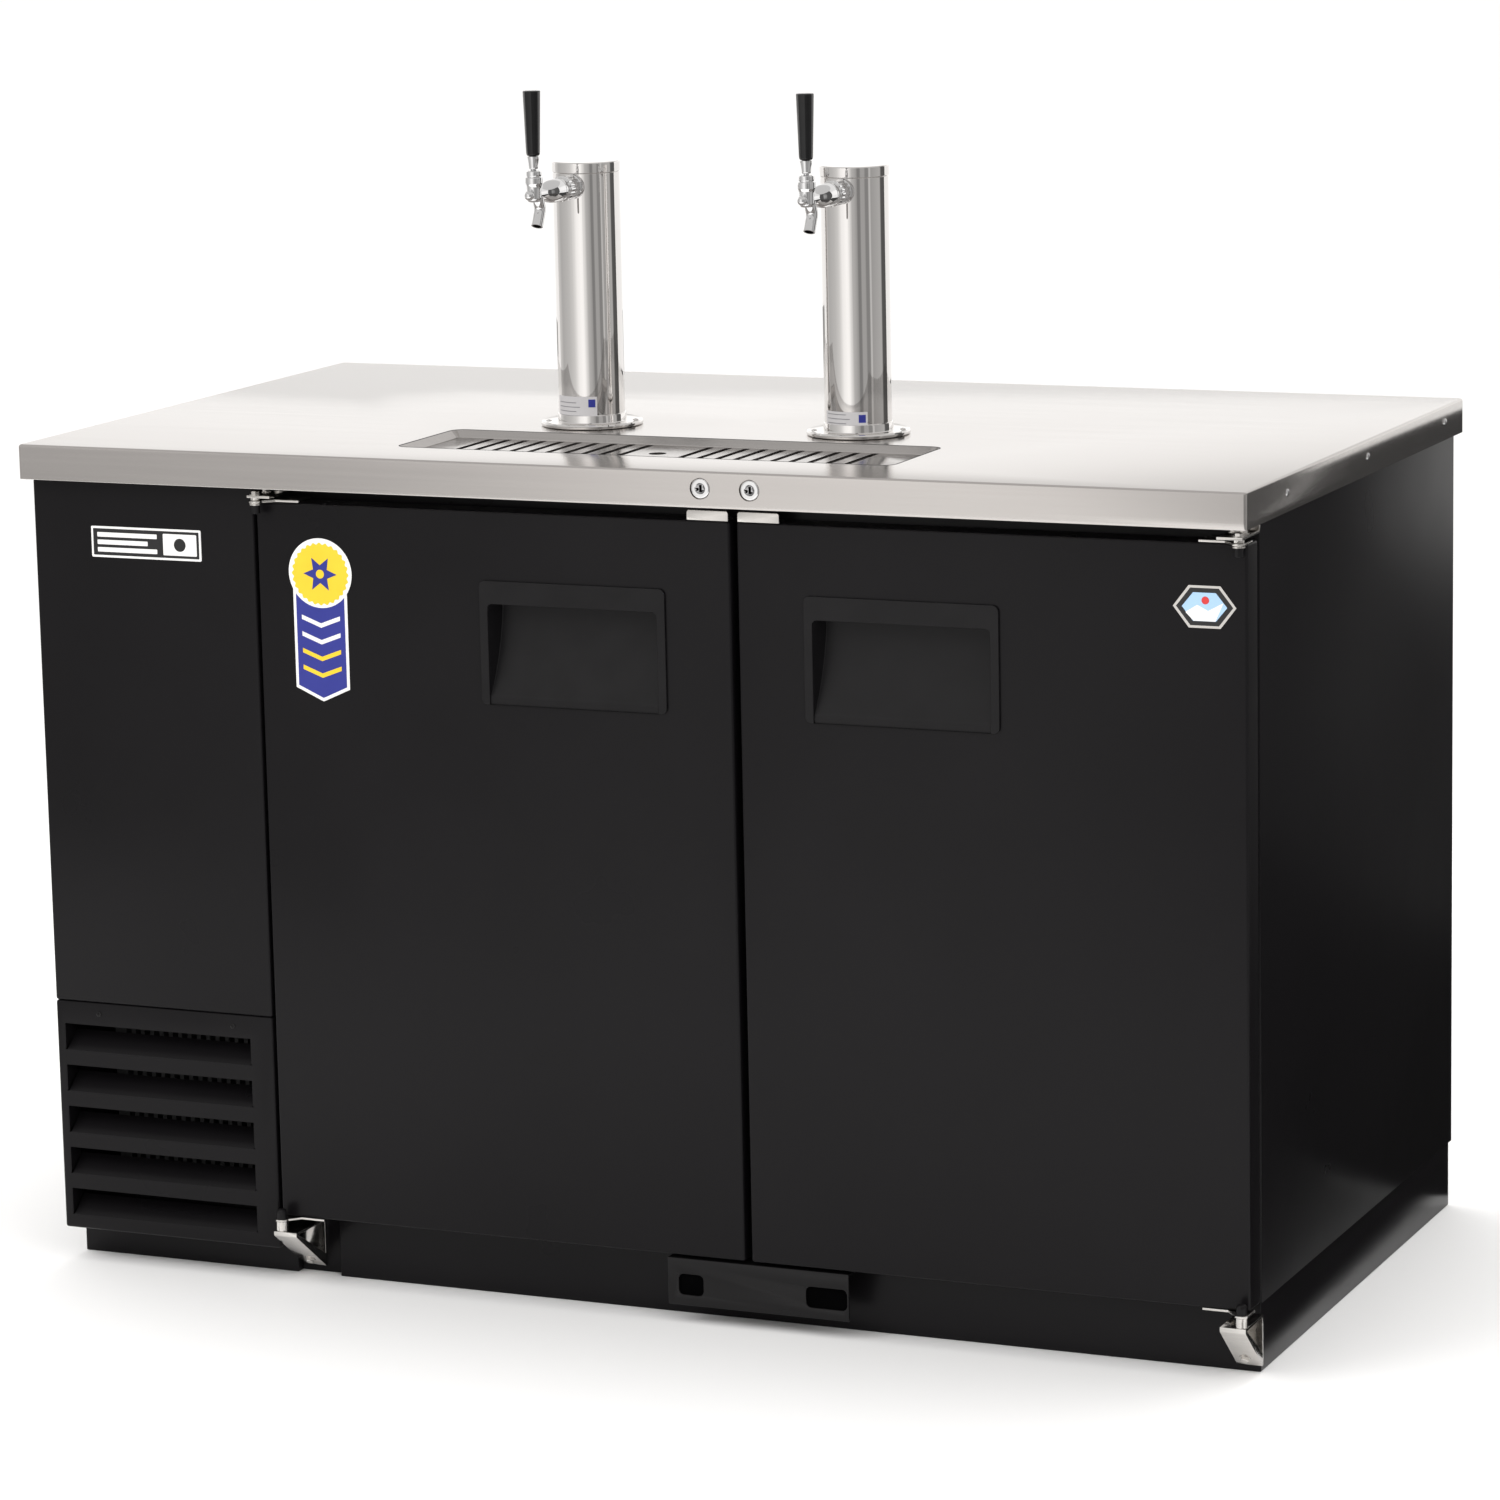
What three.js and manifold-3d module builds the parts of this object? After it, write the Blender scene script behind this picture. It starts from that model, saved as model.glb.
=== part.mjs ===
import * as THREE from 'three';
import { mergeVertices } from 'three/addons/utils/BufferGeometryUtils.js';
import Module from 'manifold-3d';

// Kegerator: a two-door keg cooler with a compressor bay, a stainless worktop with a drip tray,
// and two beer towers with one faucet each.
// Millimetres. X to the right, Y to the back, Z up; the origin is on the floor under the worktop's middle.

// Clearances
const seat = 0.3;      // between pieces that rest on, or fit in, each other
const play = 0.5;      // round a piece that turns or slides
const overrun = 5;     // how far a cut runs past the face that it opens

// Cabinet and worktop
const worktop = { width: 1467, depth: 800, height: 965, edge: 40, rounding: 5 };
const cabinet = {
  sideInset: 5.5, frameSetback: 60, rearSetback: 20, bottom: 78,
  wall: 50, roof: 46, skin: 2.5, mullion: 60, mullionDepth: 40,
};
const plinth = { sideInset: 2, setback: 2, rearInset: 5, sheet: 3, notch: 55, notchDepth: 12 };
const liner = { sheet: 1.5 };
const kegFloor = { inset: 15, sheet: 1.5 };
const lineHole = { radius: 30 };

// Doors
const door = {
  thickness: 32, setback: 20, bottom: 79, topGap: 17, gap: 8, sheet: 1.2,
  gasketInset: 8, gasketWidth: 18, gasketCorner: 10,
};
const pull = {
  width: 225, height: 139, inset: 78, drop: 77, proud: 3, leg: 10, brow: 26,
  depth: 25, foot: 8, lip: 1.2, bendRise: 30.5, bendDepth: 11, wall: 1.5, corner: 6, innerCorner: 5,
};
const strike = { inset: 1.5, width: 49, height: 11, sheet: 2, foot: 14, corner: 3 };

// Hinges
const hinge = {
  pinInset: 6, pinAhead: 11, plateLength: 37, plateSheet: 2.5, plateInset: 17, plateEdge: 0.5, ear: 8,
  topPin: 3, bottomPin: 4, topWasher: 6, bottomWasher: 7,
  armOuter: 7, armInner: 22, armSheet: 3, armNose: 8, topArm: 6.5, topFlange: 9.5,
  bottomArm: 65, foot: 8, strutNose: 5, strutFoot: 15,
};
const centreBracket = {
  left: -99, right: 119, bottom: 21, top: 75, front: 2, sheet: 3,
  slotBottom: 33, slotTop: 57, slotInset: 13, shortSlot: 30, longSlot: 49, longSlotInset: 2,
};

// Compressor bay
const bay = { width: 284.5, gap: 3.5, coverSheet: 1.5, coverTopGap: 1, seam: 312, panelBottom: 39 };
const louvre = {
  count: 5, pitch: 49.5, first: 285, left: 10, right: 28, opening: 12, height: 31.5, depth: 23.6,
  sheet: 1.5, drop: 2,
};
const rearCover = {
  depth: 12, bottomInset: 8, slots: 9, slotPitch: 32, slotHeight: 8, slotInset: 30, firstSlot: 60,
};
const inlet = { height: 620, radius: 10.5, flange: 15, flangeDepth: 3, nose: 4, bore: 4, tail: 7 };
const compressor = {
  radius: 82, height: 150, shoulder: 115, rearGap: 180, feet: 22, footRadius: 11,
  plateWidth: 210, plateDepth: 170, plateSheet: 4, crownShare: 0.78,
};
const controlBox = {
  width: 90, depth: 110, height: 130, bottom: 560, setback: 60, knob: 14, knobDepth: 12,
};

// Fan coil unit, used as the condenser and as the evaporator
const coil = { width: 210, height: 226, depth: 48, fins: 15, finGap: 7, finDepth: 14, margin: 12 };
const fan = {
  opening: 92, shroudStep: 10, shroudSheet: 2, strap: 16, strapSheet: 3, cage: 60, motor: 28, motorDepth: 26,
  shaft: 4, hub: 15, hubDepth: 20, blade: 85, chord: 40, bladeSheet: 2, pitchAngle: 24, blades: 5, nose: 2,
};
const condenserSetback = 30;
const evaporator = { topGap: 40.9, setback: 400 };

// Drip tray
const tray = {
  width: 600, depth: 153, front: 95, corner: 14, slope: 8, ledge: 8, well: 16, sheet: 1.2, taper: 1,
};
const grate = { sheet: 1.5, holeRadius: 10, holeX: -12, slotWidth: 8, slotLength: 100 };
const grateSlots = { count: 10, pitch: 22.2, left: -248, right: 26, back: 13 };

// Locks
const lock = {
  spacing: 29, height: 21, bezel: 11.6, bezelDepth: 3, barrel: 9, barrelDepth: 22, plug: 5.5,
  cam: 32, camWidth: 12, camSheet: 3, keyWidth: 1.8, keyHeight: 7, keyDepth: 3,
};

// Towers and faucets, measured from the column's axis and the worktop's top
const tower = { spacing: 331, setback: 330, radius: 38.1, wall: 1.5, seam: 291, height: 303 };
const flange = { radius: 59, rim: 4, slopeTop: 7, neck: 42, neckTop: 12, roundTop: 15 };
const cap = { lip: 0.7, spigot: 3, edge: 1.5 };
const shank = { height: 276, radius: 11, bore: 4, saddle: 14.5, saddleReach: 5, inner: 6, outer: 58 };
const nut = { radius: 14.5, end: 72, lip: 10, ribs: 16, ribWidth: 2.2, ribDepth: 0.8 };
const faucet = {
  flange: 10.9, neck: 8, shoulder: 13.5, shoulderLength: 6, waist: 9.2, reach: 138, head: 9.5, foot: 8,
  headBottom: 263, headTop: 287.8, bore: 4.5, leverBore: 6.2,
  slotWidth: 6.4, slotBack: 11, slotDrop: 6, slotTop: 287, wallBehind: 8,
  knob: 5.6, knobReach: 12.5, collar: 9.9, collarTop: 295.6, groove: 7.8, grooveTop: 296.7,
  bonnet: 8.5, bonnetTop: 302.4, chamfer: 1,
};
const spout = { radius: 6.4, bore: 4, path: [[8, 0], [10.6, 8.5], [13.6, 17], [10, 26], [5, 36]] };
const lever = {
  pivot: 299, ball: 5.5, stem: 3, tail: 1.5, tip: 2.5, ferruleFoot: 4.6, ferrule: 7,
  ferruleBottom: 305, ferruleTop: 319,
};
const tapHandle = { top: 392, foot: 7.4, head: 9.3, footEdge: 2.2, headEdge: 1, edgeInset: 1.2 };
const valve = {
  block: 4, blockLength: 14, pocket: 6.6, pocketWidth: 6, rod: 2, disc: 4, discSheet: 3, length: 58,
};
const beerLine = { radius: 4.75, straight: 18, drop: 95 };

// Places that follow from the sizes
const side = worktop.width / 2 - cabinet.sideInset;
const worktopFront = -worktop.depth / 2;
const underside = worktop.height - worktop.edge;
const frameFront = worktopFront + cabinet.frameSetback;
const rear = worktop.depth / 2 - cabinet.rearSetback;
const cabinetTop = underside - seat;
const doorFront = worktopFront + door.setback;
const doorWidth = (2 * side - bay.width - bay.gap - door.gap) / 2;
const doorHeight = underside - door.topGap - door.bottom;
const doorCentre = side - doorWidth - door.gap / 2;
const doorLeft = doorCentre - door.gap / 2 - doorWidth;
const bayRight = -side + bay.width;
const bayMiddle = (bayRight - side) / 2;
const bayFloor = cabinet.bottom + cabinet.skin;
const room = {
  x: [doorLeft + cabinet.wall, side - cabinet.wall],
  y: [frameFront - overrun, rear - cabinet.wall],
  z: [cabinet.bottom + cabinet.wall, cabinetTop - cabinet.roof],
};
const hands = [['left', -1], ['right', 1]];
const towerPlaces = hands.map(([hand, sign]) => (
  { hand, x: sign * tower.spacing / 2, y: worktopFront + tower.setback }));

// Round stretches are divided alike everywhere
const sides = 20;
const smallSides = 10;
const arcSteps = 2;
const slotSteps = 1;
const bendSteps = 5;
const boreSides = 6;

const wasm = await Module();
wasm.setup();

// A closed geometry becomes a solid with its faces turned outwards
function solid(geometry) {
  const bare = geometry.clone();
  bare.deleteAttribute('normal');
  bare.deleteAttribute('uv');
  const merged = mergeVertices(bare);
  const points = merged.attributes.position.array;
  const corners = merged.index.array;
  const triangles = [];
  for (let i = 0; i < corners.length; i += 3) {
    const [a, b, c] = corners.slice(i, i + 3);
    if (a !== b && b !== c && c !== a) triangles.push([a, b, c]);
  }
  const at = (i) => new THREE.Vector3().fromArray(points, i * 3);
  const volume = triangles.reduce((sum, [a, b, c]) => sum + at(a).dot(at(b).cross(at(c))), 0);
  const wound = volume < 0 ? triangles.map(([a, b, c]) => [a, c, b]) : triangles;
  return new wasm.Manifold(new wasm.Mesh({
    numProp: 3,
    vertProperties: new Float32Array(points),
    triVerts: new Uint32Array(wound.flat()),
  }));
}

const unit = { x: new THREE.Vector3(1, 0, 0), y: new THREE.Vector3(0, 1, 0), z: new THREE.Vector3(0, 0, 1) };
const across = { x: ['y', 'z'], y: ['z', 'x'], z: ['x', 'y'] };

// Turns a geometry made along local Z so that it lies along the named axis
function lay(geometry, axis) {
  const [u, v] = across[axis];
  return geometry.applyMatrix4(new THREE.Matrix4().makeBasis(unit[u], unit[v], unit[axis]));
}

const sorted = ([a, b]) => [Math.min(a, b), Math.max(a, b)];

// A box from its extent along each axis
function block({ x, y, z }) {
  const spans = [x, y, z].map(sorted);
  const size = spans.map(([from, to]) => to - from);
  const middle = spans.map(([from, to]) => (from + to) / 2);
  return solid(new THREE.BoxGeometry(...size).translate(...middle));
}

// A flat outline pushed along an axis; the outline's points follow the axes in the order of across
function prism(axis, outline, span, steps = arcSteps) {
  const [from, to] = sorted(span);
  const settings = { depth: to - from, bevelEnabled: false, curveSegments: steps };
  const geometry = lay(new THREE.ExtrudeGeometry(outline, settings), axis);
  return solid(geometry.translate(...unit[axis].clone().multiplyScalar(from).toArray()));
}

const polygon = (points) => new THREE.Shape(points.map(([u, v]) => new THREE.Vector2(u, v)));

function roundedRectangle(uSpan, vSpan, radius) {
  const [u0, u1] = sorted(uSpan);
  const [v0, v1] = sorted(vSpan);
  const shape = new THREE.Shape();
  shape.absarc(u1 - radius, v0 + radius, radius, -Math.PI / 2, 0);
  shape.absarc(u1 - radius, v1 - radius, radius, 0, Math.PI / 2);
  shape.absarc(u0 + radius, v1 - radius, radius, Math.PI / 2, Math.PI);
  shape.absarc(u0 + radius, v0 + radius, radius, Math.PI, Math.PI * 3 / 2);
  return shape;
}

// A box whose edges along one axis are rounded
function softBlock(axis, extent, radius, steps = arcSteps) {
  const [u, v] = across[axis];
  return prism(axis, roundedRectangle(extent[u], extent[v], radius), extent[axis], steps);
}

function placed(geometry, axis, centre, along) {
  const middle = { x: 0, y: 0, z: 0, ...centre };
  middle[axis] += along;
  return solid(lay(geometry, axis).translate(middle.x, middle.y, middle.z));
}

// A round bar along an axis
function rod(axis, centre, radius, span, count = sides) {
  const [from, to] = sorted(span);
  const geometry = new THREE.CylinderGeometry(radius, radius, to - from, count).rotateX(Math.PI / 2);
  return placed(geometry, axis, centre, (from + to) / 2);
}

// A turned piece: points are radius and place along the axis
function turned(axis, centre, points, count = sides) {
  const profile = points.map(([radius, along]) => new THREE.Vector2(radius, along));
  const geometry = new THREE.LatheGeometry(profile, count).rotateX(Math.PI / 2);
  return placed(geometry, axis, centre, 0);
}

function ring(axis, centre, points, count = sides) {
  return turned(axis, centre, [...points, points[0]], count);
}

const ball = (centre, radius, count = smallSides) => (
  solid(new THREE.SphereGeometry(radius, count, count / 2).translate(centre.x, centre.y, centre.z)));

function tube(curve, radius, steps, count) {
  const section = new THREE.Shape(Array.from({ length: count }, (_, i) => (
    new THREE.Vector2(radius, 0).rotateAround(new THREE.Vector2(), i * 2 * Math.PI / count))));
  return solid(new THREE.ExtrudeGeometry(section, { steps, extrudePath: curve, bevelEnabled: false }));
}

// A solid through flat outlines with equal point counts, from the first to the last
function loft(outlines) {
  const count = outlines[0].length;
  const points = outlines.flat();
  const faces = [];
  for (let level = 0; level < outlines.length - 1; level += 1) {
    for (let i = 0; i < count; i += 1) {
      const a = level * count + i;
      const b = level * count + (i + 1) % count;
      faces.push(a, b, b + count, a, b + count, a + count);
    }
  }
  const last = (outlines.length - 1) * count;
  for (let i = 1; i < count - 1; i += 1) faces.push(0, i + 1, i, last, last + i, last + i + 1);
  const geometry = new THREE.BufferGeometry().setFromPoints(points);
  geometry.setIndex(faces);
  return solid(geometry);
}

const rounded = ({ x, y }, radius, z) => (
  roundedRectangle(x, y, radius).getPoints(arcSteps).map((point) => new THREE.Vector3(point.x, point.y, z)));

const joined = (bodies) => bodies.reduce((sum, body) => sum.add(body));
const cut = (body, tools) => tools.reduce((rest, tool) => rest.subtract(tool), body);
const grown = ([from, to], by) => [Math.min(from, to) - by, Math.max(from, to) + by];

function mesh(name, body, material) {
  const { numProp, vertProperties, triVerts } = body.getMesh();
  const geometry = new THREE.BufferGeometry();
  geometry.setAttribute('position', new THREE.BufferAttribute(vertProperties, numProp));
  geometry.setIndex(new THREE.BufferAttribute(triVerts, 1));
  geometry.computeVertexNormals();
  const piece = new THREE.Mesh(geometry, material);
  piece.name = name;
  return piece;
}

function finish(color, roughness, metalness) {
  return new THREE.MeshStandardMaterial({ color, roughness, metalness });
}

const blackPaint = finish(0x1b1c1e, 0.35, 0.1);
const blackPlastic = finish(0x161617, 0.5, 0);
const rubber = finish(0x202022, 0.8, 0);
const stainless = finish(0xcfcbc6, 0.3, 1);
const polished = finish(0xe2dedb, 0.08, 1);
const chrome = finish(0xe6e6e6, 0.05, 1);
const nickel = finish(0xc9c6c0, 0.25, 1);
const whiteLiner = finish(0xdfe1e2, 0.45, 0.2);
const galvanised = finish(0x9b9fa1, 0.5, 0.8);
const finStock = finish(0xb8bcc0, 0.4, 0.9);
const clearHose = finish(0xd8d5c8, 0.4, 0);

const kegerator = new THREE.Group();

// Plinth: an inverted sheet-metal box with a notch beside the left door's hinge
function plinthBody() {
  const outer = {
    x: [-side + plinth.sideInset, side - plinth.sideInset],
    y: [frameFront + plinth.setback, rear - plinth.rearInset],
    z: [0, cabinet.bottom - seat],
  };
  const inner = {
    x: grown(outer.x, -plinth.sheet),
    y: grown(outer.y, -plinth.sheet),
    z: [-overrun, outer.z[1] - plinth.sheet],
  };
  const notch = (wall) => block({
    x: grown([bayRight, bayRight + plinth.notch], wall),
    y: [outer.y[0] - overrun, outer.y[0] + plinth.notchDepth + wall],
    z: [-overrun, outer.z[1] + overrun],
  });
  const hollow = cut(block(inner), [notch(plinth.sheet)]);
  return cut(block(outer), [notch(0), hollow]);
}

// Foamed cabinet: keg room at the right, open compressor bay at the left, a mullion between the doors
function cabinetBody() {
  const outer = block({ x: [-side, side], y: [frameFront, rear], z: [cabinet.bottom, cabinetTop] });
  const bayTunnel = block({
    x: [-side + cabinet.skin, bayRight - cabinet.skin],
    y: [frameFront - overrun, rear + overrun],
    z: [bayFloor, cabinetTop - cabinet.skin],
  });
  const holes = towerPlaces.map(({ x, y }) => (
    rod('z', { x, y }, lineHole.radius, [room.z[0] + overrun, underside])));
  return cut(outer, [bayTunnel, block(room), ...holes]).add(mullionBody(0));
}

const mullionBody = (clearance) => block({
  x: grown([doorCentre - cabinet.mullion / 2, doorCentre + cabinet.mullion / 2], clearance),
  y: [frameFront, frameFront + cabinet.mullionDepth + clearance],
  z: grown(room.z, overrun),
});

const linerOuter = {
  x: grown(room.x, -seat),
  y: [frameFront, room.y[1] - seat],
  z: grown(room.z, -seat),
};
const linerInner = {
  x: grown(linerOuter.x, -liner.sheet),
  y: [linerOuter.y[0] - overrun, linerOuter.y[1] - liner.sheet],
  z: grown(linerOuter.z, -liner.sheet),
};

// Keg room liner: a thin box open at the front, cut back round the mullion, with a hole under each tower
function linerBody() {
  const holes = towerPlaces.map(({ x, y }) => (
    rod('z', { x, y }, lineHole.radius, [linerInner.z[1] - overrun, linerOuter.z[1] + overrun])));
  return cut(block(linerOuter), [block(linerInner), mullionBody(seat), ...holes]);
}

const kegFloorBody = () => block({
  x: grown(linerInner.x, -kegFloor.inset),
  y: [frameFront + cabinet.mullionDepth + kegFloor.inset, linerInner.y[1] - kegFloor.inset],
  z: [linerInner.z[0] + seat, linerInner.z[0] + seat + kegFloor.sheet],
});

// Sheet-metal pan, open towards the side that openTo names
function pan(extent, sheet, openTo) {
  const [front, back] = extent.y;
  const inner = {
    x: grown(extent.x, -sheet),
    y: openTo === 'back' ? [front + sheet, back + overrun] : [front - overrun, back - sheet],
    z: grown(extent.z, -sheet),
  };
  return block(extent).subtract(block(inner));
}

const coverSpan = { x: [-side, bayRight], y: [doorFront, frameFront - seat] };

function bayCoverBody() {
  const z = [bay.seam + seat, underside - bay.coverTopGap];
  return pan({ ...coverSpan, z }, bay.coverSheet, 'back');
}

// Louvred panel: under each opening a flap leans in from the sheet, closed by a wall at either end
function louvrePanelBody() {
  const x = [coverSpan.x[0] + louvre.left, coverSpan.x[1] - louvre.right];
  const y = grown([doorFront, doorFront + bay.coverSheet], overrun);
  const deep = doorFront + louvre.depth;
  const flaps = [];
  const openings = [];
  for (let i = 0; i < louvre.count; i += 1) {
    const top = louvre.first - i * louvre.pitch;
    const low = top - louvre.height;
    const crest = top - louvre.opening;
    openings.push(block({ x, y, z: [low, top] }));
    flaps.push(prism('x', polygon([
      [doorFront, low], [deep, crest], [deep, crest - louvre.drop], [doorFront, low - louvre.drop],
    ]), x));
    const wall = polygon([
      [doorFront, low - louvre.drop], [deep, crest - louvre.drop], [deep, crest],
      [doorFront + bay.coverSheet, top], [doorFront, top],
    ]);
    flaps.push(prism('x', wall, [x[0], x[0] + louvre.sheet]));
    flaps.push(prism('x', wall, [x[1] - louvre.sheet, x[1]]));
  }
  const panel = pan({ ...coverSpan, z: [bay.panelBottom, bay.seam] }, bay.coverSheet, 'back');
  return joined([cut(panel, openings), ...flaps]);
}

const rearCoverSpan = {
  x: [-side + cabinet.skin, bayRight - cabinet.skin],
  y: [rear + seat, rear + rearCover.depth],
  z: [bayFloor + rearCover.bottomInset, cabinetTop - rearCover.bottomInset],
};

function rearCoverBody() {
  const slots = Array.from({ length: rearCover.slots }, (_, i) => {
    const low = rearCoverSpan.z[0] + rearCover.firstSlot + i * rearCover.slotPitch;
    return block({
      x: grown(rearCoverSpan.x, -rearCover.slotInset),
      y: grown(rearCoverSpan.y, overrun),
      z: [low, low + rearCover.slotHeight],
    });
  });
  const place = { x: bayMiddle, z: inlet.height };
  const gland = rod('y', place, inlet.radius + seat, grown(rearCoverSpan.y, overrun));
  return cut(pan(rearCoverSpan, bay.coverSheet, 'front'), [...slots, gland]);
}

// Gland that the mains lead leaves through, seated in the rear cover
function inletBody() {
  const face = rearCoverSpan.y[1] + seat;
  const end = face + inlet.flangeDepth + inlet.nose;
  return ring('y', { x: bayMiddle, z: inlet.height }, [
    [inlet.bore, face - inlet.tail], [inlet.radius, face - inlet.tail], [inlet.radius, face],
    [inlet.flange, face], [inlet.flange, face + inlet.flangeDepth],
    [inlet.radius, end], [inlet.bore, end],
  ]);
}

// Compressor can on a mounting plate with four feet
function compressorBody() {
  const centre = { x: bayMiddle, y: rear - compressor.rearGap };
  const floor = bayFloor + seat;
  const plateTop = floor + compressor.feet + compressor.plateSheet;
  const spread = (size) => size / 2 - compressor.footRadius;
  const feet = hands.flatMap(([, sx]) => hands.map(([, sy]) => rod('z', {
    x: centre.x + sx * spread(compressor.plateWidth),
    y: centre.y + sy * spread(compressor.plateDepth),
  }, compressor.footRadius, [floor, plateTop], smallSides)));
  const plate = block({
    x: [centre.x - compressor.plateWidth / 2, centre.x + compressor.plateWidth / 2],
    y: [centre.y - compressor.plateDepth / 2, centre.y + compressor.plateDepth / 2],
    z: [floor + compressor.feet, plateTop],
  });
  const crown = plateTop + compressor.height;
  const can = turned('z', centre, [
    [0, floor + compressor.feet], [compressor.radius, floor + compressor.feet],
    [compressor.radius, plateTop + compressor.shoulder],
    [compressor.radius * compressor.crownShare, crown], [0, crown],
  ]);
  return joined([plate, can, ...feet]);
}

function controlBoxBody() {
  const x = -side + cabinet.skin + seat;
  const y = frameFront + controlBox.setback;
  const z = bayFloor + controlBox.bottom;
  const dial = { x: x + controlBox.width / 2, z: z + controlBox.height / 2 };
  const box = block({
    x: [x, x + controlBox.width],
    y: [y, y + controlBox.depth],
    z: [z, z + controlBox.height],
  });
  return box.add(rod('y', dial, controlBox.knob, grown([y, y], controlBox.knobDepth), smallSides));
}

// Fan coil unit, standing on its base: the coil's outer face is at Y zero and the fan is behind it
const fanAxis = { x: 0, z: coil.height / 2 };
const shroudBack = coil.depth + seat + fan.shroudStep;
const strapBack = shroudBack + fan.cage;
const motorFront = strapBack - fan.strapSheet - fan.motorDepth;
const hubMiddle = motorFront - play - fan.hubDepth / 2;

function coilBody() {
  const spread = (coil.width - 2 * coil.margin) / coil.fins;
  const grooves = Array.from({ length: coil.fins }, (_, i) => {
    const middle = -coil.width / 2 + coil.margin + (i + 1 / 2) * spread;
    return block({
      x: [middle - coil.finGap / 2, middle + coil.finGap / 2],
      y: [-overrun, coil.finDepth],
      z: [coil.margin, coil.height - coil.margin],
    });
  });
  const body = block({ x: [-coil.width / 2, coil.width / 2], y: [0, coil.depth], z: [0, coil.height] });
  return cut(body, grooves);
}

function fanMotorBody() {
  const half = coil.width / 2;
  const box = { x: [-half, half], y: [coil.depth + seat, shroudBack], z: [0, coil.height] };
  const throat = rod('y', fanAxis, fan.opening, grown(box.y, overrun));
  const shroud = pan(box, fan.shroudSheet, 'front').subtract(throat);
  const strapY = [strapBack - fan.strapSheet, strapBack];
  const strapZ = grown([fanAxis.z, fanAxis.z], fan.strap / 2);
  const strap = block({ x: [-half, half], y: strapY, z: strapZ });
  const legs = hands.map(([, sign]) => block({
    x: [sign * half, sign * (half - fan.strapSheet)],
    y: [shroudBack - fan.shroudSheet, strapBack],
    z: strapZ,
  }));
  const motor = rod('y', fanAxis, fan.motor, [motorFront, strapBack]);
  const shaftFront = hubMiddle - fan.hubDepth / 2 - fan.nose;
  const shaft = rod('y', fanAxis, fan.shaft, [shaftFront, strapBack], smallSides);
  return joined([shroud, strap, ...legs, motor, shaft]);
}

// Five pitched blades on a bored hub, about the fan's own axis
function fanBladeBody() {
  const half = fan.hubDepth / 2;
  const hub = rod('y', {}, fan.hub, [-half, half], smallSides);
  const blades = Array.from({ length: fan.blades }, (_, i) => {
    const blade = new THREE.BoxGeometry(fan.bladeSheet, fan.chord, fan.blade - fan.shaft * 2);
    blade.rotateZ(THREE.MathUtils.degToRad(90 - fan.pitchAngle));
    blade.translate(0, 0, (fan.blade + fan.shaft * 2) / 2);
    return solid(blade.rotateY(i * 2 * Math.PI / fan.blades));
  });
  const round = rod('y', {}, fan.blade, [-fan.chord, fan.chord]);
  return joined([hub, ...blades]).intersect(round)
    .subtract(rod('y', {}, fan.shaft + seat, [-fan.chord, fan.chord], smallSides));
}

function addFanCoil(name, place, turn) {
  const unitGroup = new THREE.Group();
  unitGroup.position.copy(place);
  unitGroup.rotation.z = turn;
  unitGroup.add(mesh(`${name}_coil`, coilBody(), finStock));
  unitGroup.add(mesh(`${name}_fan_motor`, fanMotorBody(), galvanised));
  const blade = mesh(`${name}_fan_blade`, fanBladeBody(), blackPlastic);
  blade.position.set(fanAxis.x, hubMiddle, fanAxis.z);
  unitGroup.add(blade);
  kegerator.add(unitGroup);
}

// Drip pan: straight rim slope, then a well; outset is the distance outside the pan's inner face
const trayTop = worktop.height;
const trayCentreY = worktopFront + tray.front + tray.depth / 2;
const trayLedge = trayTop - tray.ledge;
const trayFloor = trayLedge - tray.well;

function trayOutline(inset, z, outset) {
  const half = { x: tray.width / 2 - inset + outset, y: tray.depth / 2 - inset + outset };
  return rounded({
    x: [-half.x, half.x],
    y: [trayCentreY - half.y, trayCentreY + half.y],
  }, tray.corner - inset + outset, z);
}

function trayShape(outset, top) {
  return loft([
    trayOutline(tray.slope + tray.taper, trayFloor - outset, outset),
    trayOutline(tray.slope, trayLedge, outset),
    trayOutline(0, trayTop, outset),
    ...(top > trayTop ? [trayOutline(0, top, outset)] : []),
  ]);
}

const dripPanBody = () => trayShape(tray.sheet, trayTop).subtract(trayShape(0, trayTop + overrun));

// Lift-out grate: a slotted plate whose skirt stands on the pan's floor
function dripGrateBody() {
  const outline = (inset, z) => trayOutline(tray.slope + tray.taper + play + inset, z, 0);
  const low = trayFloor + seat;
  const top = trayLedge;
  const outer = loft([outline(0, low), outline(0, top)]);
  const hollow = loft([outline(grate.sheet, low - overrun), outline(grate.sheet, top - grate.sheet)]);
  const cutSpan = [low, top + overrun];
  const back = trayCentreY + tray.depth / 2 - grateSlots.back;
  const slots = [grateSlots.left, grateSlots.right].flatMap((start) => (
    Array.from({ length: grateSlots.count }, (_, i) => {
      const middle = start + i * grateSlots.pitch;
      const extent = {
        x: [middle - grate.slotWidth / 2, middle + grate.slotWidth / 2],
        y: [back - grate.slotLength, back],
        z: cutSpan,
      };
      return softBlock('z', extent, grate.slotWidth / 2 - seat, slotSteps);
    })));
  const finger = rod('z', { x: grate.holeX, y: trayCentreY }, grate.holeRadius, cutSpan, smallSides);
  return cut(outer, [hollow, ...slots, finger]);
}

// Worktop: a thick slab with rounded edges, a pocket for the drip pan, a hole under each tower and,
// in the front edge, a stepped hole for each lock with room behind it for the cam
const lockPlaces = hands.map(([hand, sign]) => (
  { hand, x: doorCentre + sign * lock.spacing, y: worktopFront, z: underside + lock.height }));
const camBack = lock.barrelDepth + play + lock.camSheet;

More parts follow.
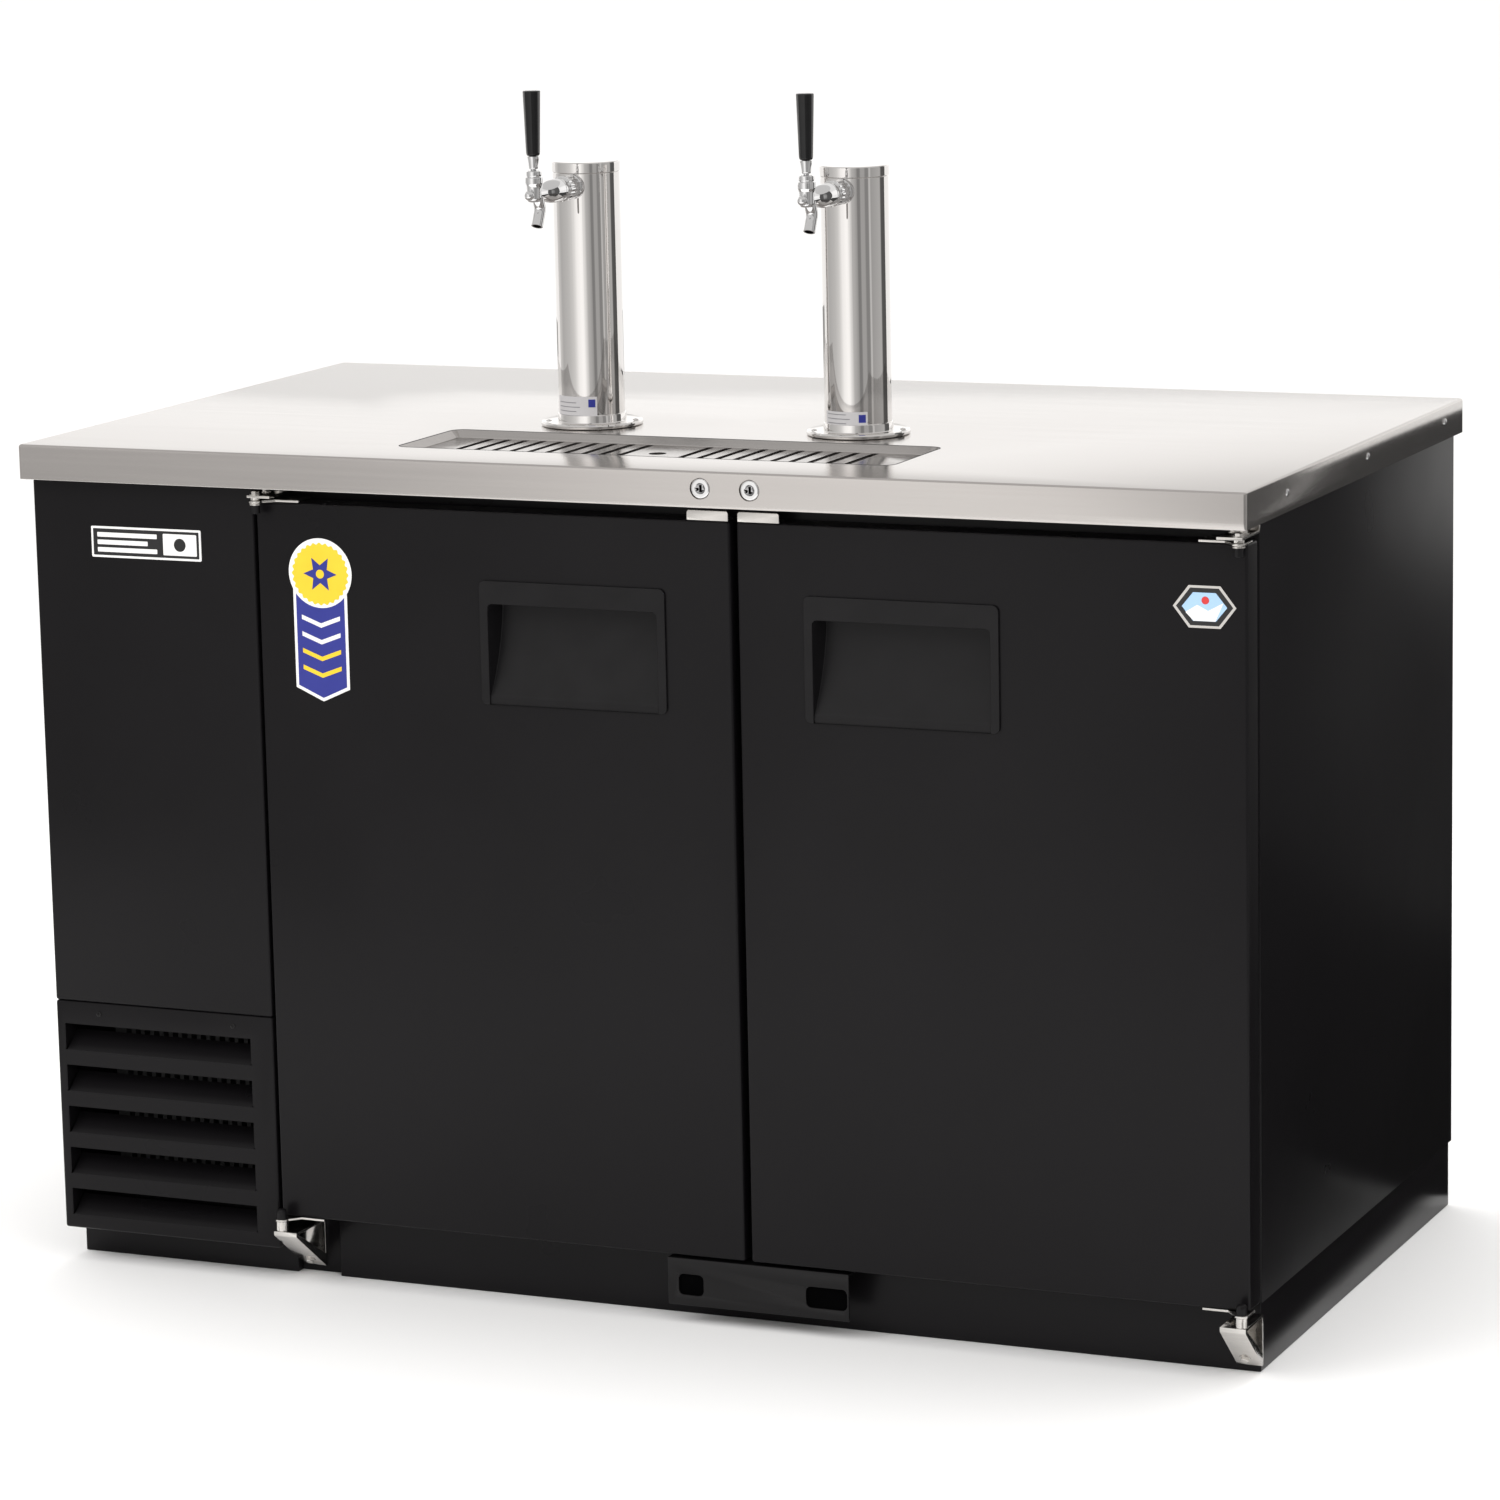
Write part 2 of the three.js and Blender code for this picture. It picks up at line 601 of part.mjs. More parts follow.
function worktopBody() {
  const extent = {
    x: [-worktop.width / 2, worktop.width / 2],
    y: [-worktop.depth / 2, worktop.depth / 2],
    z: [underside, worktop.height],
  };
  const slab = softBlock('x', extent, worktop.rounding).intersect(softBlock('y', extent, worktop.rounding));
  const tools = [trayShape(tray.sheet + seat, trayTop + overrun)];
  for (const { x, y } of towerPlaces) {
    tools.push(rod('z', { x, y }, lineHole.radius, grown(extent.z, overrun)));
  }
  for (const { x, y, z } of lockPlaces) {
    tools.push(rod('y', { x, z }, lock.bezel + seat, [y - overrun, y + lock.bezelDepth + seat]));
    tools.push(rod('y', { x, z }, lock.barrel + seat, [y, y + camBack + play]));
    tools.push(block({
      x: [x - lock.camWidth / 2 - play, x + lock.cam + play],
      y: [y + lock.barrelDepth + seat, y + camBack + play],
      z: [underside - overrun, z + lock.camWidth / 2 + play],
    }));
  }
  return cut(slab, tools);
}

// Locks, measured from the middle of the barrel's face
const lockBarrelBody = () => ring('y', {}, [
  [lock.plug + seat, 0], [lock.bezel, 0], [lock.bezel, lock.bezelDepth], [lock.barrel, lock.bezelDepth],
  [lock.barrel, lock.barrelDepth], [lock.plug + seat, lock.barrelDepth],
]);

function lockPlugBody() {
  const plug = rod('y', {}, lock.plug, [0, camBack], smallSides);
  const cam = softBlock('y', {
    x: [-lock.camWidth / 2, lock.cam],
    y: [camBack - lock.camSheet, camBack],
    z: [-lock.camWidth / 2, lock.camWidth / 2],
  }, lock.camWidth / 2 - seat);
  const key = block({
    x: [-lock.keyWidth / 2, lock.keyWidth / 2],
    y: [-overrun, lock.keyDepth],
    z: [-lock.keyHeight / 2, lock.keyHeight / 2],
  });
  return plug.add(cam).subtract(key);
}

// Doors, measured from the lower front corner at the meeting edge; sign turns outwards to the hinge
const doorX = (sign, from, to) => sorted([sign * from, sign * to]);
const pullTop = doorHeight - pull.drop;
const pullBottom = pullTop - pull.height;
const pullHollow = {
  across: [pull.inset + pull.leg, pull.inset + pull.width - pull.leg],
  z: [pullBottom + pull.foot, pullTop - pull.brow],
};
const pullTub = (sign, clearance) => ({
  x: grown(doorX(sign, ...pullHollow.across), pull.wall + clearance),
  y: [-pull.wall, pull.depth + pull.wall + clearance],
  z: grown(pullHollow.z, pull.wall + clearance),
});

function doorPanBody(sign) {
  const extent = { x: doorX(sign, 0, doorWidth), y: [0, door.thickness], z: [0, doorHeight] };
  const window = { ...pullTub(sign, seat), y: [-overrun, door.sheet + overrun] };
  return pan(extent, door.sheet, 'back').subtract(block(window));
}

function doorFillBody(sign) {
  const inset = door.sheet + seat;
  const extent = {
    x: doorX(sign, inset, doorWidth - inset),
    y: [inset, door.thickness],
    z: [inset, doorHeight - inset],
  };
  return block(extent).subtract(block({ ...pullTub(sign, seat) }));
}

function gasketBody(sign) {
  const near = door.gasketInset;
  const depth = frameFront - doorFront;
  const outer = {
    x: doorX(sign, near, doorWidth - near),
    y: [door.thickness + seat, depth - seat],
    z: [near, doorHeight - near],
  };
  const inner = {
    x: grown(outer.x, -door.gasketWidth),
    y: grown(outer.y, overrun),
    z: grown(outer.z, -door.gasketWidth),
  };
  return softBlock('y', outer, door.gasketCorner).subtract(block(inner));
}

// Pull handle: a raised brow and two legs round a finger hollow that ramps out to the lip below
function pullBody(sign) {
  const frame = softBlock('y', {
    x: doorX(sign, pull.inset, pull.inset + pull.width),
    y: [-pull.proud, -seat],
    z: [pullBottom, pullTop],
  }, pull.corner);
  const tub = block(pullTub(sign, 0));
  const [low, high] = pullHollow.z;
  const clear = -pull.proud - overrun;
  const past = pullBottom - overrun;
  const x = doorX(sign, ...pullHollow.across);
  const ramp = prism('x', polygon([
    [clear, past], [-pull.lip, past], [-pull.lip, low], [pull.bendDepth, low + pull.bendRise],
    [pull.depth, high], [clear, high],
  ]), x);
  const mouth = softBlock('y', {
    x,
    y: [clear - overrun, pull.depth + overrun],
    z: [past - pull.height, high],
  }, pull.innerCorner);
  return frame.add(tub).subtract(ramp.intersect(mouth));
}

const pinPlace = (sign) => ({ x: sign * (doorWidth - hinge.pinInset), y: -hinge.pinAhead });

// Hinge plate: fixed to the door's end, with an ear that reaches forward and out to the pin
function hingePlateBody(sign, z, pinRadius) {
  const end = doorWidth - hinge.plateInset;
  const span = [z, z + hinge.plateSheet];
  const pin = pinPlace(sign);
  const plate = block({
    x: doorX(sign, end - hinge.plateLength, end),
    y: [hinge.plateEdge, door.thickness],
    z: span,
  });
  const reach = prism('z', polygon([
    [pin.x + sign * hinge.ear, pin.y], [pin.x + sign * hinge.ear, -pin.y],
    [sign * (end - hinge.ear), -pin.y], [sign * (end - hinge.ear), hinge.plateEdge],
    [pin.x - sign * hinge.ear, pin.y],
  ]), span);
  const ear = rod('z', pin, hinge.ear, span);
  return joined([plate, reach, ear]).subtract(rod('z', pin, pinRadius + seat, grown(span, overrun)));
}

function strikeBody(sign) {
  const x = doorX(sign, strike.inset, strike.inset + strike.width);
  const low = doorHeight + seat;
  const upright = softBlock('y', {
    x,
    y: [0, strike.sheet],
    z: [low - strike.corner, low + strike.height],
  }, strike.corner);
  const below = block({ x: grown(x, overrun), y: [-overrun, overrun], z: [low - overrun, low] });
  return upright.subtract(below).add(block({ x, y: [0, strike.foot], z: [low, low + strike.sheet] }));
}

// Hinge brackets, measured from the pin's axis at the height of the door's end
const pinToFrame = frameFront - doorFront + hinge.pinAhead;
const armX = (sign) => doorX(sign, hinge.armOuter, -hinge.armInner);

function topBracketBody(sign) {
  const x = armX(sign);
  const back = pinToFrame - seat;
  const armTop = hinge.topArm + hinge.armSheet;
  const arm = block({ x, y: [-hinge.armNose, back], z: [hinge.topArm, armTop] });
  const flangeZ = [hinge.topArm, hinge.topArm + hinge.topFlange];
  const face = block({ x, y: [back - hinge.armSheet, back], z: flangeZ });
  const washer = rod('z', {}, hinge.topWasher, [2 * seat + hinge.plateSheet, armTop], smallSides);
  const pin = rod('z', {}, hinge.topPin, [2 * seat, armTop], smallSides);
  return joined([arm, face, washer, pin]);
}

// Bracket that carries the door's lower pin, with a strut that reaches down and back to the plinth
function bottomBracketBody(sign, plinthStep) {
  const armTop = hinge.bottomArm - door.bottom;
  const floor = hinge.foot - door.bottom;
  const back = pinToFrame + plinth.setback + plinthStep - seat;
  const x = armX(sign);
  const heel = back - hinge.armSheet;
  const body = prism('x', polygon([
    [-hinge.armNose, armTop], [back, armTop], [back, floor], [heel, floor],
    [-hinge.armNose, armTop - hinge.strutNose],
  ]), x);
  const hollow = prism('x', polygon([
    [-hinge.armNose + hinge.strutNose, armTop - hinge.armSheet], [heel, armTop - hinge.armSheet],
    [heel, floor + hinge.strutFoot],
  ]), grown(x, overrun));
  const plateLow = -2 * seat - hinge.plateSheet;
  const washer = rod('z', {}, hinge.bottomWasher, [armTop - hinge.armSheet, plateLow], smallSides);
  const pin = rod('z', {}, hinge.bottomPin, [armTop - hinge.armSheet, -2 * seat], smallSides);
  return joined([body.subtract(hollow), washer, pin]);
}

// Black bracket under the meeting of the doors, with a short and a long slot
function centreBracketBody() {
  const x = [centreBracket.left, centreBracket.right];
  const front = centreBracket.front;
  const back = frameFront - doorFront + plinth.setback - seat;
  const z = [centreBracket.bottom, centreBracket.top];
  const plate = block({ x, y: [front, front + centreBracket.sheet], z });
  const shelf = block({ x, y: [front, back], z: [z[1] - centreBracket.sheet, z[1]] });
  const slot = (from, to) => softBlock('y', {
    x: [from, to],
    y: [-overrun, front + overrun],
    z: [centreBracket.slotBottom, centreBracket.slotTop],
  }, (centreBracket.slotTop - centreBracket.slotBottom) / 4);
  return cut(plate.add(shelf), [
    slot(x[0] + centreBracket.slotInset, x[0] + centreBracket.slotInset + centreBracket.shortSlot),
    slot(x[1] - centreBracket.longSlotInset - centreBracket.longSlot, x[1] - centreBracket.longSlotInset),
  ]);
}

// Towers, measured from the column's axis on the worktop; the faucet points to the front
const shankAxis = { x: 0, z: shank.height };

function columnBody() {
  const bore = tower.radius - tower.wall;
  const top = tower.seam - seat;
  const shell = ring('z', {}, [
    [bore, seat], [flange.radius, seat], [flange.radius, flange.rim], [flange.neck, flange.slopeTop],
    [flange.neck, flange.neckTop], [tower.radius, flange.roundTop], [tower.radius, top], [bore, top],
  ]);
  return shell.subtract(rod('y', shankAxis, shank.radius + seat, [-flange.radius, 0]));
}

function capBody() {
  const radius = tower.radius + cap.lip;
  const spigot = tower.radius - tower.wall - seat;
  return turned('z', {}, [
    [0, tower.seam - cap.spigot], [spigot, tower.seam - cap.spigot],
    [spigot, tower.seam], [radius, tower.seam],
    [radius, tower.height - cap.edge], [radius - cap.edge, tower.height], [0, tower.height],
  ]);
}

function shankBody() {
  const face = tower.radius + seat + shank.saddleReach;
  const saddle = rod('y', shankAxis, shank.saddle, [-face, 0])
    .subtract(rod('z', {}, tower.radius + seat, [0, tower.height], sides * 2));
  const pipe = rod('y', shankAxis, shank.radius, [-shank.outer, -shank.inner]);
  const bore = rod('y', shankAxis, shank.bore, [-shank.outer - overrun, overrun], smallSides);
  return saddle.add(pipe).subtract(bore);
}

function nutBody() {
  const back = -(tower.radius + seat + shank.saddleReach + seat);
  const lipBack = -nut.end + nut.lip;
  const shell = ring('y', shankAxis, [
    [shank.radius + seat, back], [nut.radius, back], [nut.radius, -nut.end],
    [faucet.neck + seat, -nut.end], [faucet.neck + seat, lipBack], [shank.radius + seat, lipBack],
  ]);
  const grooves = Array.from({ length: nut.ribs }, (_, i) => {
    const groove = block({
      x: [nut.radius - nut.ribDepth, nut.radius + overrun],
      y: [-nut.end - overrun, back + overrun],
      z: [-nut.ribWidth / 2, nut.ribWidth / 2],
    });
    return groove.rotate([0, i * 360 / nut.ribs, 0]).translate([0, 0, shank.height]);
  });
  return cut(shell, grooves);
}

// Faucet: flanged neck, tapering barrel, upright head with a front knob, bonnet and bent spout
function faucetBody() {
  const head = { x: 0, y: -faucet.reach };
  const flangeBack = -shank.outer - seat;
  const flangeFront = -nut.end + nut.lip + seat;
  const shoulderBack = -nut.end - seat;
  const barrel = turned('y', shankAxis, [
    [0, flangeBack], [faucet.flange, flangeBack], [faucet.flange, flangeFront], [faucet.neck, flangeFront],
    [faucet.neck, shoulderBack], [faucet.shoulder, shoulderBack],
    [faucet.shoulder, shoulderBack - faucet.shoulderLength], [faucet.waist, -faucet.reach + faucet.waist],
    [faucet.waist, -faucet.reach], [0, -faucet.reach],
  ]);
  const upright = turned('z', head, [
    [0, faucet.headBottom], [faucet.foot, faucet.headBottom],
    [faucet.head, faucet.headBottom + faucet.chamfer * 3],
    [faucet.head, faucet.headTop], [faucet.collar, faucet.headTop], [faucet.collar, faucet.collarTop],
    [faucet.groove, faucet.collarTop], [faucet.groove, faucet.grooveTop],
    [faucet.bonnet, faucet.grooveTop], [faucet.bonnet, faucet.bonnetTop - faucet.chamfer],
    [faucet.bonnet - faucet.chamfer, faucet.bonnetTop], [0, faucet.bonnetTop],
  ]);
  const knob = ball({ x: 0, y: -faucet.reach - faucet.knobReach, z: shank.height }, faucet.knob);
  const route = spoutRoute();
  const start = route.getPoint(0);
  const pipe = tube(route, spout.radius, bendSteps, smallSides);
  const stub = ball(start, spout.radius);
  const bore = tube(route, spout.bore, bendSteps, boreSides);
  const past = route.getPoint(1).clone().add(route.getTangent(1).multiplyScalar(overrun));
  const lastRun = new THREE.LineCurve3(route.getPoint(1 - 1 / bendSteps), past);
  const exit = tube(lastRun, spout.bore, 1, boreSides);
  const valveSpan = [flangeBack + overrun, -faucet.reach - faucet.wallBehind];
  const valveBore = rod('y', shankAxis, faucet.bore, valveSpan, smallSides);
  const leverBore = rod('z', head, faucet.leverBore, [shank.height, faucet.bonnetTop + overrun]);
  const slot = block({
    x: [-faucet.slotWidth / 2, faucet.slotWidth / 2],
    y: [-faucet.reach, -faucet.reach + faucet.slotBack],
    z: [shank.height - faucet.slotDrop, faucet.slotTop],
  });
  return cut(joined([barrel, upright, knob, stub, pipe]), [bore, exit, valveBore, leverBore, slot]);
}

function spoutRoute() {
  return new THREE.CatmullRomCurve3(spout.path.map(([back, drop]) => (
    new THREE.Vector3(0, -faucet.reach + back, shank.height - drop))));
}

// Lever: ball in the bonnet, tail down into the valve shaft, ferrule above; measured from the ball
function leverBody() {
  const z = (height) => height - lever.pivot;
  return joined([
    ball({ x: 0, y: 0, z: 0 }, lever.ball),
    rod('z', {}, lever.tail, [z(shank.height), 0], smallSides),
    ball({ x: 0, y: 0, z: z(shank.height) }, lever.tip, smallSides),
    rod('z', {}, lever.stem, [0, z(lever.ferruleTop)], smallSides),
    turned('z', {}, [
      [0, z(lever.ferruleBottom)], [lever.ferruleFoot, z(lever.ferruleBottom)],
      [lever.ferrule, z(lever.ferruleTop)], [0, z(lever.ferruleTop)],
    ]),
  ]);
}

// Tap handle: eight flat sides, wider at the top
function tapHandleBody() {
  const low = lever.ferruleTop + seat - lever.pivot;
  const top = tapHandle.top - lever.pivot;
  const outline = (half, z) => Array.from({ length: 8 }, (_, i) => {
    const angle = (i + 1 / 2) * Math.PI / 4;
    const radius = half / Math.cos(Math.PI / 8);
    return new THREE.Vector3(radius * Math.cos(angle), radius * Math.sin(angle), z);
  });
  return loft([
    outline(tapHandle.foot - tapHandle.edgeInset, low), outline(tapHandle.foot, low + tapHandle.footEdge),
    outline(tapHandle.head, top - tapHandle.headEdge), outline(tapHandle.head - tapHandle.headEdge, top),
  ]);
}

// Valve shaft: a block that the lever's tail moves, a rod and a disc; measured from the lever's tail
function valveBody() {
  const half = valve.blockLength / 2;
  const head = rod('y', {}, valve.block, [-half, half], smallSides);
  const stem = rod('y', {}, valve.rod, [0, valve.length], smallSides);
  const disc = rod('y', {}, valve.disc, [valve.length - valve.discSheet, valve.length], smallSides);
  const pocket = block({
    x: [-valve.pocketWidth / 2, valve.pocketWidth / 2],
    y: [-valve.pocket / 2, valve.pocket / 2],
    z: [-valve.pocketWidth / 2, valve.block + overrun],
  });
  return joined([head, stem, disc]).subtract(pocket);
}

// Beer line: from the shank's inner end, down through the column and the worktop into the keg room
function beerLineBody() {
  const start = -shank.inner + seat;
  const back = start + beerLine.straight;
  const across = rod('y', shankAxis, beerLine.radius, [start, back], smallSides);
  const elbow = ball({ x: 0, y: back, z: shank.height }, beerLine.radius, smallSides);
  const fall = rod('z', { x: 0, y: back }, beerLine.radius, [shank.height, -beerLine.drop], smallSides);
  return joined([across, elbow, fall]);
}

function addTower({ hand, x, y }) {
  const group = new THREE.Group();
  group.position.set(x, y, worktop.height);
  group.add(mesh(`${hand}_column`, columnBody(), polished));
  group.add(mesh(`${hand}_column_cap`, capBody(), polished));
  group.add(mesh(`${hand}_shank`, shankBody(), chrome));
  group.add(mesh(`${hand}_coupling_nut`, nutBody(), chrome));
  group.add(mesh(`${hand}_faucet_body`, faucetBody(), chrome));
  group.add(mesh(`${hand}_beer_line`, beerLineBody(), clearHose));
  const tap = new THREE.Group();
  tap.position.set(0, -faucet.reach, lever.pivot);
  tap.add(mesh(`${hand}_tap_lever`, leverBody(), chrome));
  tap.add(mesh(`${hand}_tap_handle`, tapHandleBody(), blackPlastic));
  group.add(tap);
  const shaft = mesh(`${hand}_valve_shaft`, valveBody(), stainless);
  shaft.position.set(0, -faucet.reach, shank.height);
  group.add(shaft);
  kegerator.add(group);
}

function addDoor([hand, sign]) {
  const group = new THREE.Group();
  group.position.set(doorCentre + sign * door.gap / 2, doorFront, door.bottom);
  group.add(mesh(`${hand}_door_pan`, doorPanBody(sign), blackPaint));
  group.add(mesh(`${hand}_door_inner_panel`, doorFillBody(sign), whiteLiner));
  group.add(mesh(`${hand}_door_gasket`, gasketBody(sign), rubber));
  group.add(mesh(`${hand}_pull_handle`, pullBody(sign), blackPlastic));
  group.add(mesh(`${hand}_top_hinge_plate`, hingePlateBody(sign, doorHeight + seat, hinge.topPin), nickel));
  group.add(mesh(`${hand}_bottom_hinge_plate`,
    hingePlateBody(sign, -seat - hinge.plateSheet, hinge.bottomPin), nickel));
  group.add(mesh(`${hand}_strike_plate`, strikeBody(sign), nickel));
  const brackets = new THREE.Group();
  const pin = pinPlace(sign);
  brackets.position.set(pin.x, pin.y, 0);
  const topBracket = mesh(`${hand}_top_hinge_bracket`, topBracketBody(sign), nickel);
  topBracket.position.z = doorHeight;
  brackets.add(topBracket);
  brackets.add(mesh(`${hand}_bottom_hinge_bracket`,
    bottomBracketBody(sign, sign < 0 ? plinth.notchDepth : 0), nickel));
  group.add(brackets);
  kegerator.add(group);
}

function addLock({ hand, x, y, z }) {
  const group = new THREE.Group();
  group.position.set(x, y, z);
  group.add(mesh(`${hand}_lock_barrel`, lockBarrelBody(), chrome));
  group.add(mesh(`${hand}_lock_plug`, lockPlugBody(), chrome));
  kegerator.add(group);
}

function addCentreBracket() {
  const bracket = mesh('centre_bracket', centreBracketBody(), blackPaint);
  bracket.position.set(doorCentre, doorFront, 0);
  kegerator.add(bracket);
}

kegerator.add(mesh('base_frame', plinthBody(), blackPaint));
kegerator.add(mesh('cabinet_shell', cabinetBody(), blackPaint));
kegerator.add(mesh('cabinet_liner', linerBody(), whiteLiner));
kegerator.add(mesh('keg_floor_plate', kegFloorBody(), stainless));
kegerator.add(mesh('bay_cover', bayCoverBody(), blackPaint));
kegerator.add(mesh('louvre_panel', louvrePanelBody(), blackPaint));
kegerator.add(mesh('rear_cover', rearCoverBody(), blackPaint));
kegerator.add(mesh('mains_inlet', inletBody(), rubber));
kegerator.add(mesh('compressor', compressorBody(), blackPaint));
kegerator.add(mesh('control_box', controlBoxBody(), galvanised));
addFanCoil('condenser', new THREE.Vector3(
  bayMiddle, frameFront + condenserSetback, bayFloor + seat), 0);
addFanCoil('evaporator', new THREE.Vector3(
  linerInner.x[0] + seat,
  frameFront + evaporator.setback,
  linerInner.z[1] - evaporator.topGap - coil.height), -Math.PI / 2);
kegerator.add(mesh('worktop', worktopBody(), stainless));
kegerator.add(mesh('drip_pan', dripPanBody(), stainless));
kegerator.add(mesh('drip_grate', dripGrateBody(), stainless));
lockPlaces.forEach(addLock);
hands.forEach(addDoor);
addCentreBracket();
towerPlaces.forEach(addTower);

export default kegerator;
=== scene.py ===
import math

import bmesh
import bpy
from mathutils import Matrix, Vector


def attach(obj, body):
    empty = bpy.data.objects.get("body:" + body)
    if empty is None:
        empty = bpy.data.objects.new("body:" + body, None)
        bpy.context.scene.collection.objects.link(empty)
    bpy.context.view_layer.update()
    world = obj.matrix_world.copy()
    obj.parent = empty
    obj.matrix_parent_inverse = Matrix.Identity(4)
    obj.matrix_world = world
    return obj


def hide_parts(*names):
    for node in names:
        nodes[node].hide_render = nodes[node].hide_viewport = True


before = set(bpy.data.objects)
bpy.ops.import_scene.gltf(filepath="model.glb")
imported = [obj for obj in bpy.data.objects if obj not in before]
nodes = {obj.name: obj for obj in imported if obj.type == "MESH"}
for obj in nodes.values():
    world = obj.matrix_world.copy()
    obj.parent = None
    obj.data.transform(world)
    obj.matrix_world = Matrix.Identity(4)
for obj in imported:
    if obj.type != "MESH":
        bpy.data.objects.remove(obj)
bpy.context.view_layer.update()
scene = bpy.context.scene

MM = 0.001
HANDS = (("left", -1), ("right", 1))


# Driving sizes and places, in millimetres, in the frame of the solids

SIDE = 728.0  # half the cabinet's width
TOP, UNDER = 965.0, 925.0  # heights of the worktop's faces
WORKTOP_X, WORKTOP_Y = (-733.5, 733.5), (-400, 400)
DOOR_FRONT, FRAME_FRONT, REAR = -380.0, -340.0, 380.0
BAY_RIGHT, BAY_SEAM = -443.5, 312.0  # the bay's upper cover meets its louvred panel at the seam
BAY_Y, BAY_SHEET, BAY_EDGE = (DOOR_FRONT, FRAME_FRONT - 0.3), 1.5, 3.0
LOUVRE_X = (-718.0, -471.5)
MEETING, DOOR_GAP = 144.0, 8.0  # the doors meet at this x with this gap
DOOR_WIDTH, DOOR_Z = 580.0, (79, 908)
PULL_X, PULL_Z = (78, 303), (692, 831)  # x is from the door's free edge, as it is for the mouth
MOUTH_X, MOUTH_Z = (88, 293), (700, 805)
HINGE_REACH, HINGE_Y = 578, -391.0  # the pins' distance from where the doors meet
LOCK_REACH, LOCK_Z = 29, 946  # the same for the locks
CAM_X, CAM_Y, CAM_HALF = (-6, 32), (-377.5, -374.5), 6  # x is from the lock's axis
TRAY_X, TRAY_Y, TRAY_CORNER = (-300.0, 300.0), (-305.0, -152.0), 14.0
TRAY_FLOOR, SHOULDER, TRAY_SHEET = 941, 957, 1.2
FOOT_INSET, SHOULDER_INSET = 9, 8  # of the tray's floor and shoulder, from its rim
TOWER_X, TOWER_Y, TOWER_HOLE = 165.5, -70.0, 30
TUBE, TUBE_TOP = 38.1, 290.7  # a column's radius and height
TAP_RISE, TAP_REACH = 276, 138  # the level axis above the worktop, the upright one before the column's
PIVOT_RISE = 299  # a lever's pivot above the worktop
NEAR, OVERRUN = 0.01, 5  # a point this near is on a face; a cutter runs this far past it
WELD, FLAT = 0.002, 0.6  # joins points this near, and faces this flat in degrees


# Materials

def tint(color, by):
    return [min(1.0, c * by) for c in color] + [1.0]


def put(node, **values):
    """Sets uniform values on a node's sockets; an underscore in a name stands for a space."""
    for socket, value in values.items():
        node.inputs[socket.replace("_", " ")].default_value = value


def color_ramp(tree, stops):
    """A ramp through (place, colour) stops."""
    ramp = tree.nodes.new("ShaderNodeValToRGB")
    elements = ramp.color_ramp.elements
    while len(elements) < len(stops):
        elements.new(0.5)
    for element, (place, color) in zip(elements, stops):
        element.position = place
        element.color = color
    return ramp


def new_material(name):
    made = bpy.data.materials.new(name)
    made.use_nodes = True
    return made, made.node_tree, made.node_tree.nodes["Principled BSDF"]


def material(name, color, rough, metal=0.0, scale=40.0, spread=0.12, stretch=(1, 1, 1),
             rough_spread=0.06, relief=None, **uniform):
    """A surface whose colour, roughness and relief vary a little over the object.

    Relief is (strength, scale), and a stretch where it has one of its own."""
    low, high, smoothest, relief_height = 0.3, 0.7, 0.01, 0.0004
    made, tree, shader = new_material(name)
    add, join = tree.nodes.new, tree.links.new
    coords = add("ShaderNodeTexCoord")

    def noise(texture_scale, stretched, detail=4.0):
        mapping = add("ShaderNodeMapping")
        put(mapping, Scale=stretched)
        join(coords.outputs["Object"], mapping.inputs["Vector"])
        texture = add("ShaderNodeTexNoise")
        put(texture, Scale=texture_scale, Detail=detail)
        join(mapping.outputs["Vector"], texture.inputs["Vector"])
        return texture.outputs["Fac"]

    broad = noise(scale, stretch)
    ramp = color_ramp(tree, [(low, tint(color, 1 - spread)), (high, tint(color, 1 + spread))])
    join(broad, ramp.inputs["Fac"])
    join(ramp.outputs["Color"], shader.inputs["Base Color"])
    spans = add("ShaderNodeMapRange")
    put(spans, From_Min=low, From_Max=high, To_Min=max(smoothest, rough - rough_spread),
        To_Max=rough + rough_spread)
    join(broad, spans.inputs["Value"])
    join(spans.outputs["Result"], shader.inputs["Roughness"])
    put(shader, Metallic=metal, **uniform)
    if relief:
        bumps = add("ShaderNodeBump")
        put(bumps, Strength=relief[0], Distance=relief_height)
        fine = noise(relief[1], relief[2] if len(relief) > 2 else stretch, 2.0)
        join(fine, bumps.inputs["Height"])
        join(bumps.outputs["Normal"], shader.inputs["Normal"])
    return made


black_paint = material("black_paint", (0.0052, 0.0047, 0.0054), 0.30, scale=5.0, spread=0.10,
                       rough_spread=0.03, relief=(0.08, 420.0), IOR=1.24)
black_gloss = material("black_gloss", (0.0058, 0.0054, 0.0058), 0.22, scale=6.0, spread=0.10,
                       rough_spread=0.03, relief=(0.05, 300.0), IOR=1.3)
black_plastic = material("black_plastic", (0.0060, 0.0056, 0.0062), 0.36, scale=30.0, rough_spread=0.05,
                         relief=(0.12, 900.0), IOR=1.27)
tap_black = material("tap_black", (0.0050, 0.0050, 0.0054), 0.16, scale=60.0, rough_spread=0.03,
                     relief=(0.03, 500.0), IOR=1.4)
rubber = material("rubber", (0.010, 0.010, 0.0105), 0.65, scale=60.0, spread=0.15, relief=(0.25, 900.0))
stainless = material("stainless", (0.545, 0.520, 0.502), 0.15, metal=1.0, scale=3.0, spread=0.02,
                     stretch=(1, 60, 60), rough_spread=0.02, relief=(0.02, 8.0, (1, 260, 260)),
                     Anisotropic=0.35)
tray_steel = material("tray_steel", (0.47, 0.45, 0.437), 0.18, metal=1.0, scale=4.0, spread=0.03,
                      stretch=(1, 50, 50), rough_spread=0.03, relief=(0.02, 8.0, (1, 240, 240)))
